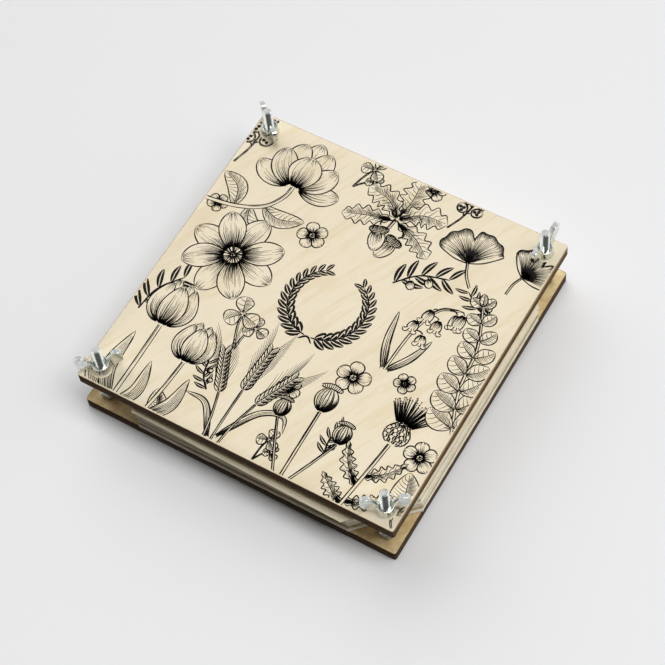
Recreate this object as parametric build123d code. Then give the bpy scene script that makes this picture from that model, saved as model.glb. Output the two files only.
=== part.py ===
from build123d import *
import math
import os

# Flower press: two square plywood boards held on four bolts, with a stack of cards and blotting papers
# squeezed between them by four wing nuts. Millimetres, +Z up.
# The origin is the centre of the bottom board's underside, which is the face that rests on a table.

os.makedirs("parts", exist_ok=True)

# Boards
board_width = 180.0
board_thickness = 6.5
board_corner_radius = 1.4
bolt_inset = 9.0  # bolt axis to each board edge
slide_clearance = 0.3  # round the bolts in the top board, which rides up and down on them
seat_clearance = 0.05  # round the bolts in the bottom board, where they stay

# Countersunk bolts, M5 x 50 with the length counted over the head
thread_diameter = 5.0
thread_pitch = 0.8
thread_depth = 0.45
thread_clearance = 0.05  # between the thread's crests and a nut's bore
bolt_length = 50.0
bolt_neck = 1.2  # plain length under the head
bolt_tip_chamfer = 0.8
head_diameter = 9.2
head_rim = 0.3
head_recess = 0.2  # head below the underside of the bottom board
cross_span = 5.0
cross_width = 1.1
cross_depth = 1.4

# Hex nuts that lock the bolts to the bottom board
hex_across_flats = 8.0
hex_height = 4.0
hex_corner_chamfer = 0.5
hex_mouth_chamfer = 0.35

# Wing nuts
flange_diameter = 9.8  # of the skirt that the hub stands on
flange_edge = 0.8
flange_flare = 1.0  # height over which the skirt draws in to the neck
neck_diameter = 9.2
hub_top_diameter = 8.8
hub_height = 4.8
hub_mouth_chamfer = 0.6
hub_dish = 1.2  # depth of the dished top round the bore
wing_span = 25.4
wing_height = 13.0
wing_thickness = 2.4
wing_tab_width = 5.4  # along the flat top of a wing
wing_low_corner = 5.4  # height of a wing's outer lower corner
wing_lean = 0.8  # how far the outer edge leans out from bottom to top
wing_root_height = 0.8
wing_root_depth = 1.0  # how far a wing runs into the hub
wing_corner_radius = 2.2
wing_edge_radius = 0.6
wing_yaws = {"front_left": 40.0, "front_right": 33.0, "back_right": 86.0, "back_left": 139.0}

# Pressing stack, from the bottom up
card_thickness = 2.7
paper_thickness = 0.7
sheet_inset = 3.0  # sheet edge to board edge, for a sheet laid square
sheet_clip = 26.5  # legs of the clipped corners
stack_order = ["pressing_card", "blotting_paper", "blotting_paper"] * 4 + ["pressing_card"]

# How the loose sheets lie: shares of the offset to the right and to the back, and shares of the yaw
lay_offset = 3.0
lay_yaw = 1.0
lay_shares = [
    (1.13, -1.17, 0.15),
    (1.05, -1.05, 0.20),
    (1.00, -0.95, 0.30),
    (0.97, -0.95, 0.40),
    (0.95, -0.97, 0.10),
    (1.00, -1.03, -0.20),
    (1.10, -1.00, -0.10),
    (0.98, -0.95, -0.30),
    (1.02, -1.00, -0.40),
    (1.05, -0.95, -0.30),
    (1.27, -1.80, -1.08),
    (0.50, -0.40, 0.15),
    (0.45, -0.35, 0.10),
]

# Worked out from the sizes above
cut_overrun = 1.0  # how far a cutter reaches past the face that it cuts
bolt_offset = board_width / 2 - bolt_inset
corners = {
    "front_left": (-bolt_offset, -bolt_offset),
    "front_right": (bolt_offset, -bolt_offset),
    "back_right": (bolt_offset, bolt_offset),
    "back_left": (-bolt_offset, bolt_offset),
}
thickness_of = {"pressing_card": card_thickness, "blotting_paper": paper_thickness}
stack_height = sum(thickness_of[kind] for kind in stack_order)
top_board_bottom = board_thickness + stack_height
top_board_top = top_board_bottom + board_thickness
thread_radius = thread_diameter / 2
nut_bore_radius = thread_radius + thread_clearance
head_cone = (head_diameter - thread_diameter) / 2  # height of a 90 degree cone
head_height = head_rim + head_cone


def turned(points):
    """A solid turned about the Z axis from a closed outline of (radius, height) points."""
    outline = Polyline([(radius, 0, height) for radius, height in points], close=True)
    return revolve(make_face(outline), Axis.Z)


def board(hole_radius):
    """A square board lying on z = 0 with a plain hole for each bolt."""
    plate = extrude(RectangleRounded(board_width, board_width, board_corner_radius), board_thickness)
    drill = Cylinder(hole_radius, board_thickness + 2 * cut_overrun)
    for x, y in corners.values():
        plate -= Pos(x, y, board_thickness / 2) * drill
    return plate


def countersink():
    """The cutter for a bolt head's seat: the head's own outline, widened by the seat clearance."""
    seat_radius = head_diameter / 2 + seat_clearance
    hole_radius = thread_radius + seat_clearance
    rim_top = head_recess + head_rim + seat_clearance
    return turned([
        (0, -cut_overrun),
        (seat_radius, -cut_overrun),
        (seat_radius, rim_top),
        (hole_radius, rim_top + head_cone),
        (0, rim_top + head_cone),
    ])


def bottom_board():
    """The bottom board, with the bolt heads' seats cut into its underside."""
    plate = board(thread_radius + seat_clearance)
    for x, y in corners.values():
        plate -= Pos(x, y, 0) * countersink()
    return plate


def top_board():
    """The top board, lying on the stack."""
    return Pos(0, 0, top_board_bottom) * board(thread_radius + slide_clearance)


def bolt():
    """A bolt standing on its countersunk head, with a ring groove for each turn of its thread."""
    head_bottom = head_recess
    head_top = head_bottom + head_height
    tip = head_bottom + bolt_length
    thread_start = head_top + bolt_neck
    thread_end = tip - bolt_tip_chamfer
    turns = int((thread_end - thread_start) / thread_pitch)
    outline = [
        (0, head_bottom),
        (head_diameter / 2, head_bottom),
        (head_diameter / 2, head_bottom + head_rim),
        (thread_radius, head_top),
    ]
    for turn in range(turns):
        crest = thread_start + turn * thread_pitch
        outline.append((thread_radius, crest))
        outline.append((thread_radius - thread_depth, crest + thread_pitch / 2))
    outline += [
        (thread_radius, thread_start + turns * thread_pitch),
        (thread_radius, thread_end),
        (thread_radius - bolt_tip_chamfer, tip),
        (0, tip),
    ]
    blade = Box(cross_span, cross_width, cross_depth + cut_overrun)
    recess = Pos(0, 0, head_bottom + (cross_depth - cut_overrun) / 2) * (blade + Rot(0, 0, 90) * blade)
    return turned(outline) - recess


def nut_bore(height, lower_chamfer, upper_chamfer):
    """The cutter for a nut's bore, opened by a chamfer at each end."""
    lower_radius = nut_bore_radius + lower_chamfer
    upper_radius = nut_bore_radius + upper_chamfer
    return turned([
        (0, -cut_overrun),
        (lower_radius, -cut_overrun),
        (lower_radius, 0),
        (nut_bore_radius, lower_chamfer),
        (nut_bore_radius, height - upper_chamfer),
        (upper_radius, height),
        (upper_radius, height + cut_overrun),
        (0, height + cut_overrun),
    ])


def hex_nut():
    """A hex nut standing on z = 0, its corners turned down at both ends."""
    prism = extrude(RegularPolygon(hex_across_flats / 2, 6, major_radius=False), hex_height)
    face_radius = hex_across_flats / 2
    corner_radius = face_radius / math.cos(math.pi / 6)
    turned_down = turned([
        (0, 0),
        (face_radius, 0),
        (corner_radius, hex_corner_chamfer),
        (corner_radius, hex_height - hex_corner_chamfer),
        (face_radius, hex_height),
        (0, hex_height),
    ])
    return (prism & turned_down) - nut_bore(hex_height, hex_mouth_chamfer, hex_mouth_chamfer)


def wing():
    """One wing of a wing nut, along +X: an upright plate with rounded corners and edges."""
    reach = wing_span / 2
    root = hub_top_diameter / 2 - wing_root_depth
    outline = Polyline([
        (root, 0, wing_root_height),
        (reach - wing_lean, 0, wing_low_corner),
        (reach, 0, wing_height),
        (reach - wing_tab_width, 0, wing_height),
        (root, 0, hub_height - wing_root_depth),
    ], close=True)
    face = make_face(outline)
    outer_corners = face.vertices().sort_by(Axis.X)[2:]
    face = fillet(outer_corners, wing_corner_radius)
    plate = extrude(face, wing_thickness / 2, dir=(0, 1, 0), both=True)
    rims = plate.faces().sort_by(Axis.Y)
    return fillet(rims[0].edges() + rims[-1].edges(), wing_edge_radius)


def wing_nut():
    """A wing nut standing on z = 0 with its wings along X: a hub on a flared skirt, and two wings."""
    hub = turned([
        (0, 0),
        (flange_diameter / 2, 0),
        (flange_diameter / 2, flange_edge),
        (neck_diameter / 2, flange_edge + flange_flare),
        (hub_top_diameter / 2, hub_height),
        (0, hub_height),
    ])
    return hub + wing() + Rot(0, 0, 180) * wing() - nut_bore(hub_height, hub_mouth_chamfer, hub_dish)


def sheet(thickness):
    """A square sheet with clipped corners, lying on z = 0."""
    side = board_width - 2 * sheet_inset
    square = Rectangle(side, side)
    return extrude(chamfer(square.vertices(), sheet_clip), thickness)


def stack():
    """The cards and papers by name, each lying on the one below and a little out of square."""
    sheets = {}
    numbers = dict.fromkeys(thickness_of, 0)
    height = board_thickness
    for kind, (right, back, turn) in zip(stack_order, lay_shares):
        numbers[kind] += 1
        place = Pos(right * lay_offset, back * lay_offset, height) * Rot(0, 0, turn * lay_yaw)
        sheets[f"{kind}_{numbers[kind]}"] = place * sheet(thickness_of[kind])
        height += thickness_of[kind]
    return sheets


pieces = {"bottom_board": bottom_board(), "top_board": top_board(), **stack()}
for corner, (x, y) in corners.items():
    pieces[f"bolt_{corner}"] = Pos(x, y, 0) * bolt()
    pieces[f"hex_nut_{corner}"] = Pos(x, y, board_thickness) * hex_nut()
    pieces[f"wing_nut_{corner}"] = Pos(x, y, top_board_top) * Rot(0, 0, wing_yaws[corner]) * wing_nut()

for name, piece in pieces.items():
    export_step(piece, f"parts/{name}.step")
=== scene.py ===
"""Flower press: two laser-cut plywood boards that squeeze a stack of cards and papers."""
import logging
import math
import random
from dataclasses import dataclass, field
from enum import Enum
from typing import ClassVar

import bmesh
import bpy
import numpy as np
from mathutils import Matrix, Vector, noise


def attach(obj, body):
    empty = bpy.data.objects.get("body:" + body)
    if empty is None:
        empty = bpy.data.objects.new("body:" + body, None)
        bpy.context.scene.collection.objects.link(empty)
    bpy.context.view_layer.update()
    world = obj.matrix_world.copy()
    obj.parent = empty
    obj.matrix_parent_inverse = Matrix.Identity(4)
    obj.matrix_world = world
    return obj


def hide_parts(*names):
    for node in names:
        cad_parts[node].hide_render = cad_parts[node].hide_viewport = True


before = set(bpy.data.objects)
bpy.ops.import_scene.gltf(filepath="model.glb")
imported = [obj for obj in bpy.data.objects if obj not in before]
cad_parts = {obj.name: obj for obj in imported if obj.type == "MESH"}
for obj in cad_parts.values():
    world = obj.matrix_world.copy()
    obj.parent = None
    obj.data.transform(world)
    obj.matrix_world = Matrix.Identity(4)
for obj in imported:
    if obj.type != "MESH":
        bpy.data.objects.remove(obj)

log = logging.getLogger("flower_press")

MM = 0.001
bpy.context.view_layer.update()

Tree = bpy.types.NodeTree
Node = bpy.types.Node
Socket = bpy.types.NodeSocket
Material = bpy.types.Material
Mesh = bpy.types.Mesh
Object = bpy.types.Object


def linear(colour: str) -> tuple[float, float, float, float]:
    """Turns an sRGB hex colour to the linear one that nodes use.

    Args:
        colour: Six hex digits after a hash sign.

    Returns:
        Red, green, blue and an alpha of one.
    """
    channels = [int(colour[i:i + 2], 16) / 255 for i in (1, 3, 5)]
    red, green, blue = (
        c / 12.92 if c <= 0.04045 else ((c + 0.055) / 1.055) ** 2.4 for c in channels)
    return red, green, blue, 1.0


def connect(tree: Tree, node: Node, inputs: dict) -> None:
    """Sets a node's inputs, or links those that are given another node's output.

    Args:
        tree: The node's tree.
        node: The node.
        inputs: What each input, by name or number, is set or linked to.
    """
    for key, value in inputs.items():
        if isinstance(value, Socket):
            tree.links.new(value, node.inputs[key])
        else:
            node.inputs[key].default_value = value


def add_node(tree: Tree, kind: str, inputs: dict | None = None, **settings: object) -> Node:
    """Adds a node with its settings, values and links.

    Args:
        tree: The tree that the node goes into.
        kind: The node's type name.
        inputs: What each input, by name or number, is set or linked to.
        settings: The node's own properties.

    Returns:
        The new node.
    """
    node = tree.nodes.new(kind)
    for name, value in settings.items():
        setattr(node, name, value)
    connect(tree, node, inputs or {})
    return node


class Corner(Enum):
    """The four corners of the press, as signs of X and Y."""

    front_left = (-1, -1)
    front_right = (1, -1)
    back_right = (1, 1)
    back_left = (-1, 1)

    def place(self, offset: float, height: float = 0.0) -> Vector:
        """Finds a point near the corner.

        Args:
            offset: Millimetres out from the middle, along X and along Y.
            height: Millimetres above the table.

        Returns:
            The point in metres.
        """
        x, y = self.value
        return Vector((x * offset, y * offset, height)) * MM


@dataclass(frozen=True)
class Grain:
    """One layer of a finish's pattern: noise of a real size that lays a colour over those below."""

    size: tuple[float, float, float]  # millimetres along X, Y and Z
    detail: float
    rough: float
    low: float = 0.0  # up to this level the colour doesn't show
    high: float = 1.0  # from this level its whole share shows
    share: float = 1.0
    distortion: float = 0.0
    blend: str = "LINEAR"

    def level(self, tree: Tree, place: Socket) -> Socket:
        """Adds the layer's noise.

        Args:
            tree: The material's node tree.
            place: The coordinates that the noise follows, in metres.

        Returns:
            The noise's level.
        """
        scale = tuple(1 / (length * MM) for length in self.size)
        spread = add_node(
            tree, "ShaderNodeVectorMath", {0: place, 1: scale}, operation="MULTIPLY").outputs[0]
        return add_node(tree, "ShaderNodeTexNoise", {
            "Vector": spread, "Scale": 1.0, "Detail": self.detail, "Roughness": self.rough,
            "Distortion": self.distortion}).outputs["Fac"]

    def lay(self, tree: Tree, level: Socket, under: Socket | str, colour: str) -> Socket:
        """Lays the layer's colour where the level is high.

        Args:
            tree: The material's node tree.
            level: The level that decides.
            under: The colour below, as an output or in hex.
            colour: The layer's own colour in hex.

        Returns:
            The two colours together.
        """
        share = add_node(tree, "ShaderNodeMapRange", {
            "Value": level, "From Min": self.low, "From Max": self.high, "To Max": self.share},
            interpolation_type=self.blend).outputs[0]
        below = linear(under) if isinstance(under, str) else under
        return add_node(tree, "ShaderNodeMix", {
            0: share, 6: below, 7: linear(colour)}, data_type="RGBA").outputs[2]


@dataclass(frozen=True)
class Finish:
    """What every finish shares: its material's name, a slot name, its gloss and its relief."""

    name: str
    slot: str
    rough: ClassVar[float] = 0.6
    specular: ClassVar[float] = 0.2
    relief: ClassVar[float] = 0.0
    relief_depth: ClassVar[float] = 0.0  # millimetres

    def material(self) -> Material:
        """Gives the finish's material, made on its first use.

        Returns:
            The material of this name.
        """
        made = bpy.data.materials.get(self.name)
        if made is None:
            made = bpy.data.materials.new(self.name)
            made.use_nodes = True
            self.paint(made.node_tree, made.node_tree.nodes["Principled BSDF"])
        return made

    def paint(self, tree: Tree, shader: Node) -> None:
        """Builds the nodes of the finish; each kind of finish has its own.

        Args:
            tree: The material's node tree.
            shader: Its principled shader.
        """
        raise NotImplementedError

    def coat(self, tree: Tree, shader: Node, colour: Socket, height: Socket | None = None) -> None:
        """Gives the shader its colour, its gloss and its relief.

        Args:
            tree: The material's node tree.
            shader: Its principled shader.
            colour: The finished colour.
            height: The level that the relief follows, where the finish has one.
        """
        connect(tree, shader, {
            "Base Color": colour, "Roughness": self.rough, "Specular IOR Level": self.specular})
        if height is not None:
            bump = add_node(tree, "ShaderNodeBump", {
                "Strength": self.relief, "Distance": self.relief_depth * MM, "Height": height})
            tree.links.new(bump.outputs[0], shader.inputs["Normal"])


@dataclass(frozen=True)
class BirchFace(Finish):
    """Birch plywood, rotary cut and sanded: a pale face with wavy figure and fine fibre dashes.

    The eye sees broad bands a little warmer than the rest, thin fibre lines, and a brown smoke line
    where the laser cut the edge.
    """

    pale: str
    warm: str
    dash: str
    smoke: str
    mottle: float
    half_width: float = 90.0
    smoke_width: float = 0.4
    smoke_share: float = 0.9
    smoke_spill: float = 0.2  # how far past the edge the smoke is still growing
    ragged: float = 0.7
    grain_turn: float = 25.0
    figure: Grain = Grain((9.0, 81.82, 9.0), 3.0, 0.55, 0.46, 0.68, 0.85, 1.6, "SMOOTHSTEP")
    # the fibre is drawn coarser than the real 0.1 mm so that it shows
    fibre: Grain = Grain((0.45, 7.5, 0.45), 2.0, 0.6, 0.58, 0.76, 0.5, 0.3)
    rough: ClassVar[float] = 0.62
    specular: ClassVar[float] = 0.3
    relief: ClassVar[float] = 0.12
    relief_depth: ClassVar[float] = 0.1

    def paint(self, tree: Tree, shader: Node) -> None:
        """Builds the figure, the fibre, the smoke line and the relief.

        Args:
            tree: The material's node tree.
            shader: Its principled shader.
        """
        place = add_node(tree, "ShaderNodeTexCoord").outputs["Object"]
        turned_place = add_node(tree, "ShaderNodeMapping", {
            "Vector": place, "Rotation": (0, 0, math.radians(self.grain_turn))}).outputs[0]
        cloud = Grain((7.692, 7.692, 7.692), 4.0, 0.65, 0.42, 0.72, self.mottle)
        fibre = self.fibre.level(tree, turned_place)
        colour = self.figure.lay(tree, self.figure.level(tree, turned_place), self.pale, self.warm)
        colour = self.fibre.lay(tree, fibre, colour, self.dash)
        colour = cloud.lay(tree, cloud.level(tree, place), colour, self.dash)
        far = add_node(tree, "ShaderNodeVectorMath", {0: place}, operation="ABSOLUTE").outputs[0]
        axes = add_node(tree, "ShaderNodeSeparateXYZ", {0: far}).outputs
        nearest = add_node(
            tree, "ShaderNodeMath", {0: axes["X"], 1: axes["Y"]}, operation="MAXIMUM").outputs[0]
        ragged = add_node(tree, "ShaderNodeMath", {
            0: fibre, 1: self.ragged * MM, 2: nearest}, operation="MULTIPLY_ADD").outputs[0]
        edge = self.half_width + self.smoke_spill
        smoked = add_node(tree, "ShaderNodeMapRange", {
            "Value": ragged, "From Min": (edge - self.smoke_width) * MM,
            "From Max": (edge + self.smoke_spill) * MM, "To Max": self.smoke_share},
            interpolation_type="SMOOTHSTEP").outputs[0]
        colour = add_node(tree, "ShaderNodeMix", {
            0: smoked, 6: colour, 7: linear(self.smoke)}, data_type="RGBA").outputs[2]
        self.coat(tree, shader, colour, fibre)


@dataclass(frozen=True)
class ScorchedEdge(Finish):
    """Plywood edge, cut by laser: charred brown, with plies as bands and fine upright burn lines.

    The eye sees it grow paler towards the upper face; on the near-left sides, which face away
    from the light, that paler rim is cut back as painted shade.
    """

    char: str
    ember: str
    rim: str
    pale_rim_share: float
    ply_bottom: float
    board: float = 6.5
    ply: float = 1.3
    ply_blur: float = 0.08  # how far a band runs into the next, as a share of two plies
    ply_contrast: float = 0.35
    shade_lift_from: float = -10.0  # X plus Y where the painted shade of the near-left sides starts to lift
    shade_lift_to: float = 20.0
    shaded_rim_share: float = 0.2  # of the paler rim that is left on the near-left sides, as painted shade
    rim_start: float = 0.4  # share of the board's height
    # the burn lines are drawn coarser than the real 0.2 mm so that they show
    burn: Grain = Grain((0.6, 1000.0, 5.0), 3.0, 0.6, 0.35, 0.95)
    rough: ClassVar[float] = 0.8
    specular: ClassVar[float] = 0.1
    relief: ClassVar[float] = 0.35
    relief_depth: ClassVar[float] = 0.15

    def paint(self, tree: Tree, shader: Node) -> None:
        """Builds the plies, the burn lines and the relief.

        Args:
            tree: The material's node tree.
            shader: Its principled shader.
        """
        place = add_node(tree, "ShaderNodeTexCoord").outputs["Object"]
        axes = add_node(tree, "ShaderNodeSeparateXYZ", {0: place}).outputs
        round_edge = add_node(
            tree, "ShaderNodeMath", {0: axes["X"], 1: axes["Y"]}, operation="ADD").outputs[0]
        height = add_node(tree, "ShaderNodeMath", {
            0: axes["Z"], 1: self.ply_bottom * MM}, operation="SUBTRACT").outputs[0]
        plies = add_node(tree, "ShaderNodeMath", {
            0: height, 1: 1 / (2 * self.ply * MM)}, operation="MULTIPLY").outputs[0]
        wave = add_node(tree, "ShaderNodeMath", {0: plies, 1: 1.0}, operation="PINGPONG").outputs[0]
        bands = add_node(tree, "ShaderNodeMapRange", {
            "Value": wave, "From Min": 0.5 - self.ply_blur, "From Max": 0.5 + self.ply_blur},
            interpolation_type="SMOOTHSTEP").outputs[0]
        spread = add_node(tree, "ShaderNodeCombineXYZ", {"X": round_edge, "Z": height}).outputs[0]
        burns = self.burn.level(tree, spread)
        uneven = add_node(tree, "ShaderNodeMath", {
            0: bands, 1: self.ply_contrast, 2: burns}, operation="MULTIPLY_ADD").outputs[0]
        burnt = self.burn.lay(tree, uneven, self.char, self.ember)
        # painted shade: the paler rim is weaker on the near-left sides, which face away from the
        # light
        unshaded_rim = add_node(tree, "ShaderNodeMapRange", {
            "Value": round_edge, "From Min": self.shade_lift_from * MM, "From Max": self.shade_lift_to * MM,
            "To Min": self.shaded_rim_share * self.pale_rim_share, "To Max": self.pale_rim_share},
            interpolation_type="SMOOTHSTEP").outputs[0]
        rise = add_node(tree, "ShaderNodeMapRange", {
            "Value": height, "From Min": self.rim_start * self.board * MM,
            "From Max": self.board * MM, "To Max": unshaded_rim},
            interpolation_type="SMOOTHSTEP").outputs[0]
        colour = add_node(tree, "ShaderNodeMix", {
            0: rise, 6: burnt, 7: linear(self.rim)}, data_type="RGBA").outputs[2]
        self.coat(tree, shader, colour, burns)


@dataclass(frozen=True)
class ZincPlate(Finish):
    """Zinc-plated steel, cast or rolled, clear passivated: bright, faintly blue, of satin grain."""

    bright: str
    blue: str
    dull: float
    duller: float = 0.08  # how far the roughness rises with the grit
    glossier: float = 0.06  # how far it falls
    grit_range: tuple = (0.3, 0.7)  # levels of the grit where it is lowest and highest
    patches: Grain = Grain((2.381, 2.381, 2.381), 2.0, 0.5, 0.38, 0.66)
    # the grit is drawn coarser than the real plating so that it shows
    grit: Grain = Grain((0.7, 0.7, 0.7), 3.0, 0.6)
    specular: ClassVar[float] = 0.5
    relief: ClassVar[float] = 0.08
    relief_depth: ClassVar[float] = 0.08

    def paint(self, tree: Tree, shader: Node) -> None:
        """Builds the uneven tint, the patchy gloss and the relief.

        Args:
            tree: The material's node tree.
            shader: Its principled shader.
        """
        place = add_node(tree, "ShaderNodeTexCoord").outputs["Object"]
        patches = self.patches.level(tree, place)
        grit = self.grit.level(tree, place)
        gloss = add_node(tree, "ShaderNodeMapRange", {
            "Value": grit, "From Min": self.grit_range[0], "From Max": self.grit_range[1],
            "To Min": self.dull - self.glossier, "To Max": self.dull + self.duller}).outputs[0]
        self.coat(tree, shader, self.patches.lay(tree, patches, self.bright, self.blue), grit)
        connect(tree, shader, {"Roughness": gloss, "Metallic": 1.0})


@dataclass(frozen=True)
class PressedFibre(Finish):
    """Card or blotting paper, pressed from pulp and guillotined: matt and clouded.

    The eye sees thin uneven bands in its cut edge: partly its own plies of pulp, partly painted
    shade for the dark seams between sheets.
    """

    pale: str
    dark: str
    layer: float  # drawn coarser than the real plies so that they show; darker, as painted seam shade
    layer_and_seam_shade_share: float
    pulp: Grain = Grain((1.111, 1.111, 1.111), 3.0, 0.7, 0.5, 0.78, 0.35)
    rough: ClassVar[float] = 0.88
    specular: ClassVar[float] = 0.15
    relief: ClassVar[float] = 0.3
    relief_depth: ClassVar[float] = 0.12

    def paint(self, tree: Tree, shader: Node) -> None:
        """Builds the bands of the edge, partly painted seam shade, the clouds of the face and the
        relief.

        Args:
            tree: The material's node tree.
            shader: Its principled shader.
        """
        place = add_node(tree, "ShaderNodeTexCoord").outputs["Object"]
        # the bands are partly the sheet's own plies and partly painted shade for the seams between
        # sheets
        bands_with_seam_shade = Grain((12.0, 12.0, self.layer), 3.0, 0.6, 0.36, 0.7, self.layer_and_seam_shade_share)
        edge = bands_with_seam_shade.lay(tree, bands_with_seam_shade.level(tree, place), self.pale, self.dark)
        pulp = self.pulp.level(tree, place)
        self.coat(tree, shader, self.pulp.lay(tree, pulp, edge, self.dark), pulp)


@dataclass(frozen=True)
class PrintInk(Finish):
    """Black ink, printed and soaked into sanded wood: matt, browner where wood shows through."""

    black: str
    thin: str
    cover: Grain = Grain((1.5385, 1.5385, 1.5385), 2.0, 0.6, 0.46, 0.74, 0.7)

    def paint(self, tree: Tree, shader: Node) -> None:
        """Builds the uneven cover of the ink.

        Args:
            tree: The material's node tree.
            shader: Its principled shader.
        """
        place = add_node(tree, "ShaderNodeTexCoord").outputs["Object"]
        cover = self.cover.level(tree, place)
        self.coat(tree, shader, self.cover.lay(tree, cover, self.black, self.thin))


def looked_at(tree: Tree) -> Socket:
    """Tells the rays that show the backdrop from those that light the press.

    Args:
        tree: The material's or the world's node tree.

    Returns:
        One for camera, glossy and transmission rays, and zero for the rest.
    """
    path = add_node(tree, "ShaderNodeLightPath").outputs
    shows = path["Is Camera Ray"]
    for kind in ("Is Glossy Ray", "Is Transmission Ray"):
        shows = add_node(
            tree, "ShaderNodeMath", {0: shows, 1: path[kind]}, operation="MAXIMUM").outputs[0]
    return shows


@dataclass(frozen=True)
class StudioPaper(Finish):
    """Matt paper of the studio table, pale grey; on the near left it lights less than it shows."""

    grey: str
    bounce: str
    bright_way: tuple = (1.0, 0.6, 0.0)
    bright_from: float = -0.02  # metres along that way
    bright_to: float = 0.08
    rough: ClassVar[float] = 0.9
    specular: ClassVar[float] = 0.1

    def paint(self, tree: Tree, shader: Node) -> None:
        """Builds the paper's grey as it is seen, and as it lights the press.

        Args:
            tree: The material's node tree.
            shader: Its principled shader.
        """
        place = add_node(tree, "ShaderNodeTexCoord").outputs["Object"]
        across = add_node(
            tree, "ShaderNodeVectorMath", {0: place, 1: self.bright_way}, operation="DOT_PRODUCT")
        bright_side = add_node(tree, "ShaderNodeMapRange", {
            "Value": across.outputs["Value"], "From Min": self.bright_from,
            "From Max": self.bright_to}, interpolation_type="SMOOTHSTEP").outputs[0]
        full = add_node(tree, "ShaderNodeMath", {
            0: looked_at(tree), 1: bright_side}, operation="MAXIMUM").outputs[0]
        colour = add_node(tree, "ShaderNodeMix", {
            0: full, 6: linear(self.bounce), 7: linear(self.grey)}, data_type="RGBA").outputs[2]
        self.coat(tree, shader, colour)


BIRCH_PRINTED = BirchFace(
    "birch_plywood_sanded", "printed_plywood", "#ede1c7", "#e7d7b6", "#dac49b", "#a5875c", 0.1)
BIRCH_BARE = BirchFace(
    "birch_plywood_smoked", "plywood", "#e9d3a2", "#d9bc86", "#a98650", "#4a301a", 0.75)
TOP_EDGE = ScorchedEdge(
    "plywood_edge_charred", "printed_plywood", "#231812", "#5c4634", "#a98a60", 0.8, 25.6)
# painted shade: the bottom board's edge sits low and half hidden, so its paler rim is darker and
# weaker
BOTTOM_EDGE = ScorchedEdge(
    "plywood_edge_charred_shaded", "plywood", "#271b13", "#5d4733", "#7c6245", 0.3, 0.0)
ZINC_CAST = ZincPlate("zinc_plated_casting", "zinc_steel", "#e8e9e3", "#c9d0cd", 0.15)
ZINC_ROLLED = ZincPlate("zinc_plated_rolled_steel", "zinc_steel", "#f2f2ec", "#dadfdb", 0.14)
# painted shade: the hex nuts sit in the shade under the top board, so their zinc is darker and
# duller
ZINC_DULL_SHADED = ZincPlate("zinc_plated_nut_steel_shaded", "zinc_steel", "#b4babb", "#9ea7a9", 0.3)
CARD_PALE = PressedFibre("pulp_card_pale", "card", "#fdf7e8", "#d6c59f", 0.6, 0.45)
CARD_TAN = PressedFibre("pulp_card_tan", "card", "#f3ead4", "#c2ae86", 0.6, 0.5)
BLOTTER = PressedFibre("blotting_paper_soft", "blotting_paper", "#f3e9d0", "#d9caa4", 0.25, 0.4)
BLOTTER_BROWN = PressedFibre(
    "blotting_paper_brown", "blotting_paper", "#cdbd97", "#9c8960", 0.25, 0.5)
INK = PrintInk("print_ink_soaked", "printed_plywood", "#14110e", "#2f2820")
PAPER = StudioPaper("studio_paper_matt", "none", "#ededee", "#989898")


def to_mesh(name: str, points: list, faces: list) -> Mesh:
    """Makes a mesh from points in millimetres.

    Args:
        name: The mesh's name.
        points: Triples of millimetres.
        faces: Lists of point numbers.

    Returns:
        The mesh in metres.
    """
    mesh = bpy.data.meshes.new(name)
    mesh.from_pydata([tuple(c * MM for c in p) for p in points], [], faces)
    return mesh


def settled(work: bmesh.types.BMesh, name: str) -> Mesh:
    """Turns finished mesh work into a plain mesh.

    Args:
        work: The work, which is freed.
        name: The mesh's name.

    Returns:
        The mesh.
    """
    mesh = bpy.data.meshes.new(name)
    work.to_mesh(mesh)
    work.free()
    return mesh


def tube(count: int, rings: int) -> list[tuple]:
    """Lists the faces of a closed tube of rings of points, with a lid at each end.

    Args:
        count: How many points each ring has, anticlockwise as seen from the last ring.
        rings: How many rings there are.

    Returns:
        Point numbers of each face, ring after ring.
    """
    faces = [tuple(reversed(range(count))), tuple(range((rings - 1) * count, rings * count))]
    for foot in range(0, (rings - 1) * count, count):
        for i in range(count):
            j = (i + 1) % count
            faces.append((foot + i, foot + j, foot + count + j, foot + count + i))
    return faces


def piece(data: bpy.types.ID, name: str) -> Object:
    """Puts a mesh, curve, lamp or camera in the scene as an object at the origin.

    Args:
        data: What the object shows.
        name: The object's name.

    Returns:
        The object.
    """
    made = bpy.data.objects.new(name, data)
    bpy.context.scene.collection.objects.link(made)
    return made


def evaluated(source: Object, name: str) -> Mesh:
    """Turns an object with its modifiers into a plain mesh and removes the object.

    Args:
        source: The object that carries the modifiers.
        name: The new mesh's name.

    Returns:
        The plain mesh.
    """
    graph = bpy.context.evaluated_depsgraph_get()
    mesh = bpy.data.meshes.new_from_object(source.evaluated_get(graph))
    mesh.name = name
    bpy.data.objects.remove(source)
    return mesh


def mount(mesh: Mesh, name: str, body: str, finish: Finish, *nodes: str) -> Object:
    """Makes a mesh a piece that rides on its body and stands for its CAD nodes, and reports it.

    Args:
        mesh: The finished mesh; it gets the finish's material if it has none yet.
        name: The piece's name.
        body: The body that carries it.
        finish: The finish whose material it gets if it has none yet.
        nodes: The CAD nodes that it stands for.

    Returns:
        The piece.
    """
    if not mesh.materials:
        mesh.materials.append(finish.material())
    made = piece(mesh, name)
    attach(made, body)
    if nodes:
        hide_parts(*nodes)
    log.info("%s: %d faces on %s", made.name, len(mesh.polygons), body)
    return made


def smooth_over(mesh: Mesh, degrees: float) -> None:
    """Shades a mesh smooth, with sharp edges where it turns by more than an angle.

    Args:
        mesh: The mesh to shade.
        degrees: The angle.
    """
    mesh.shade_smooth()
    mesh.set_sharp_from_angle(angle=math.radians(degrees))


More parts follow.
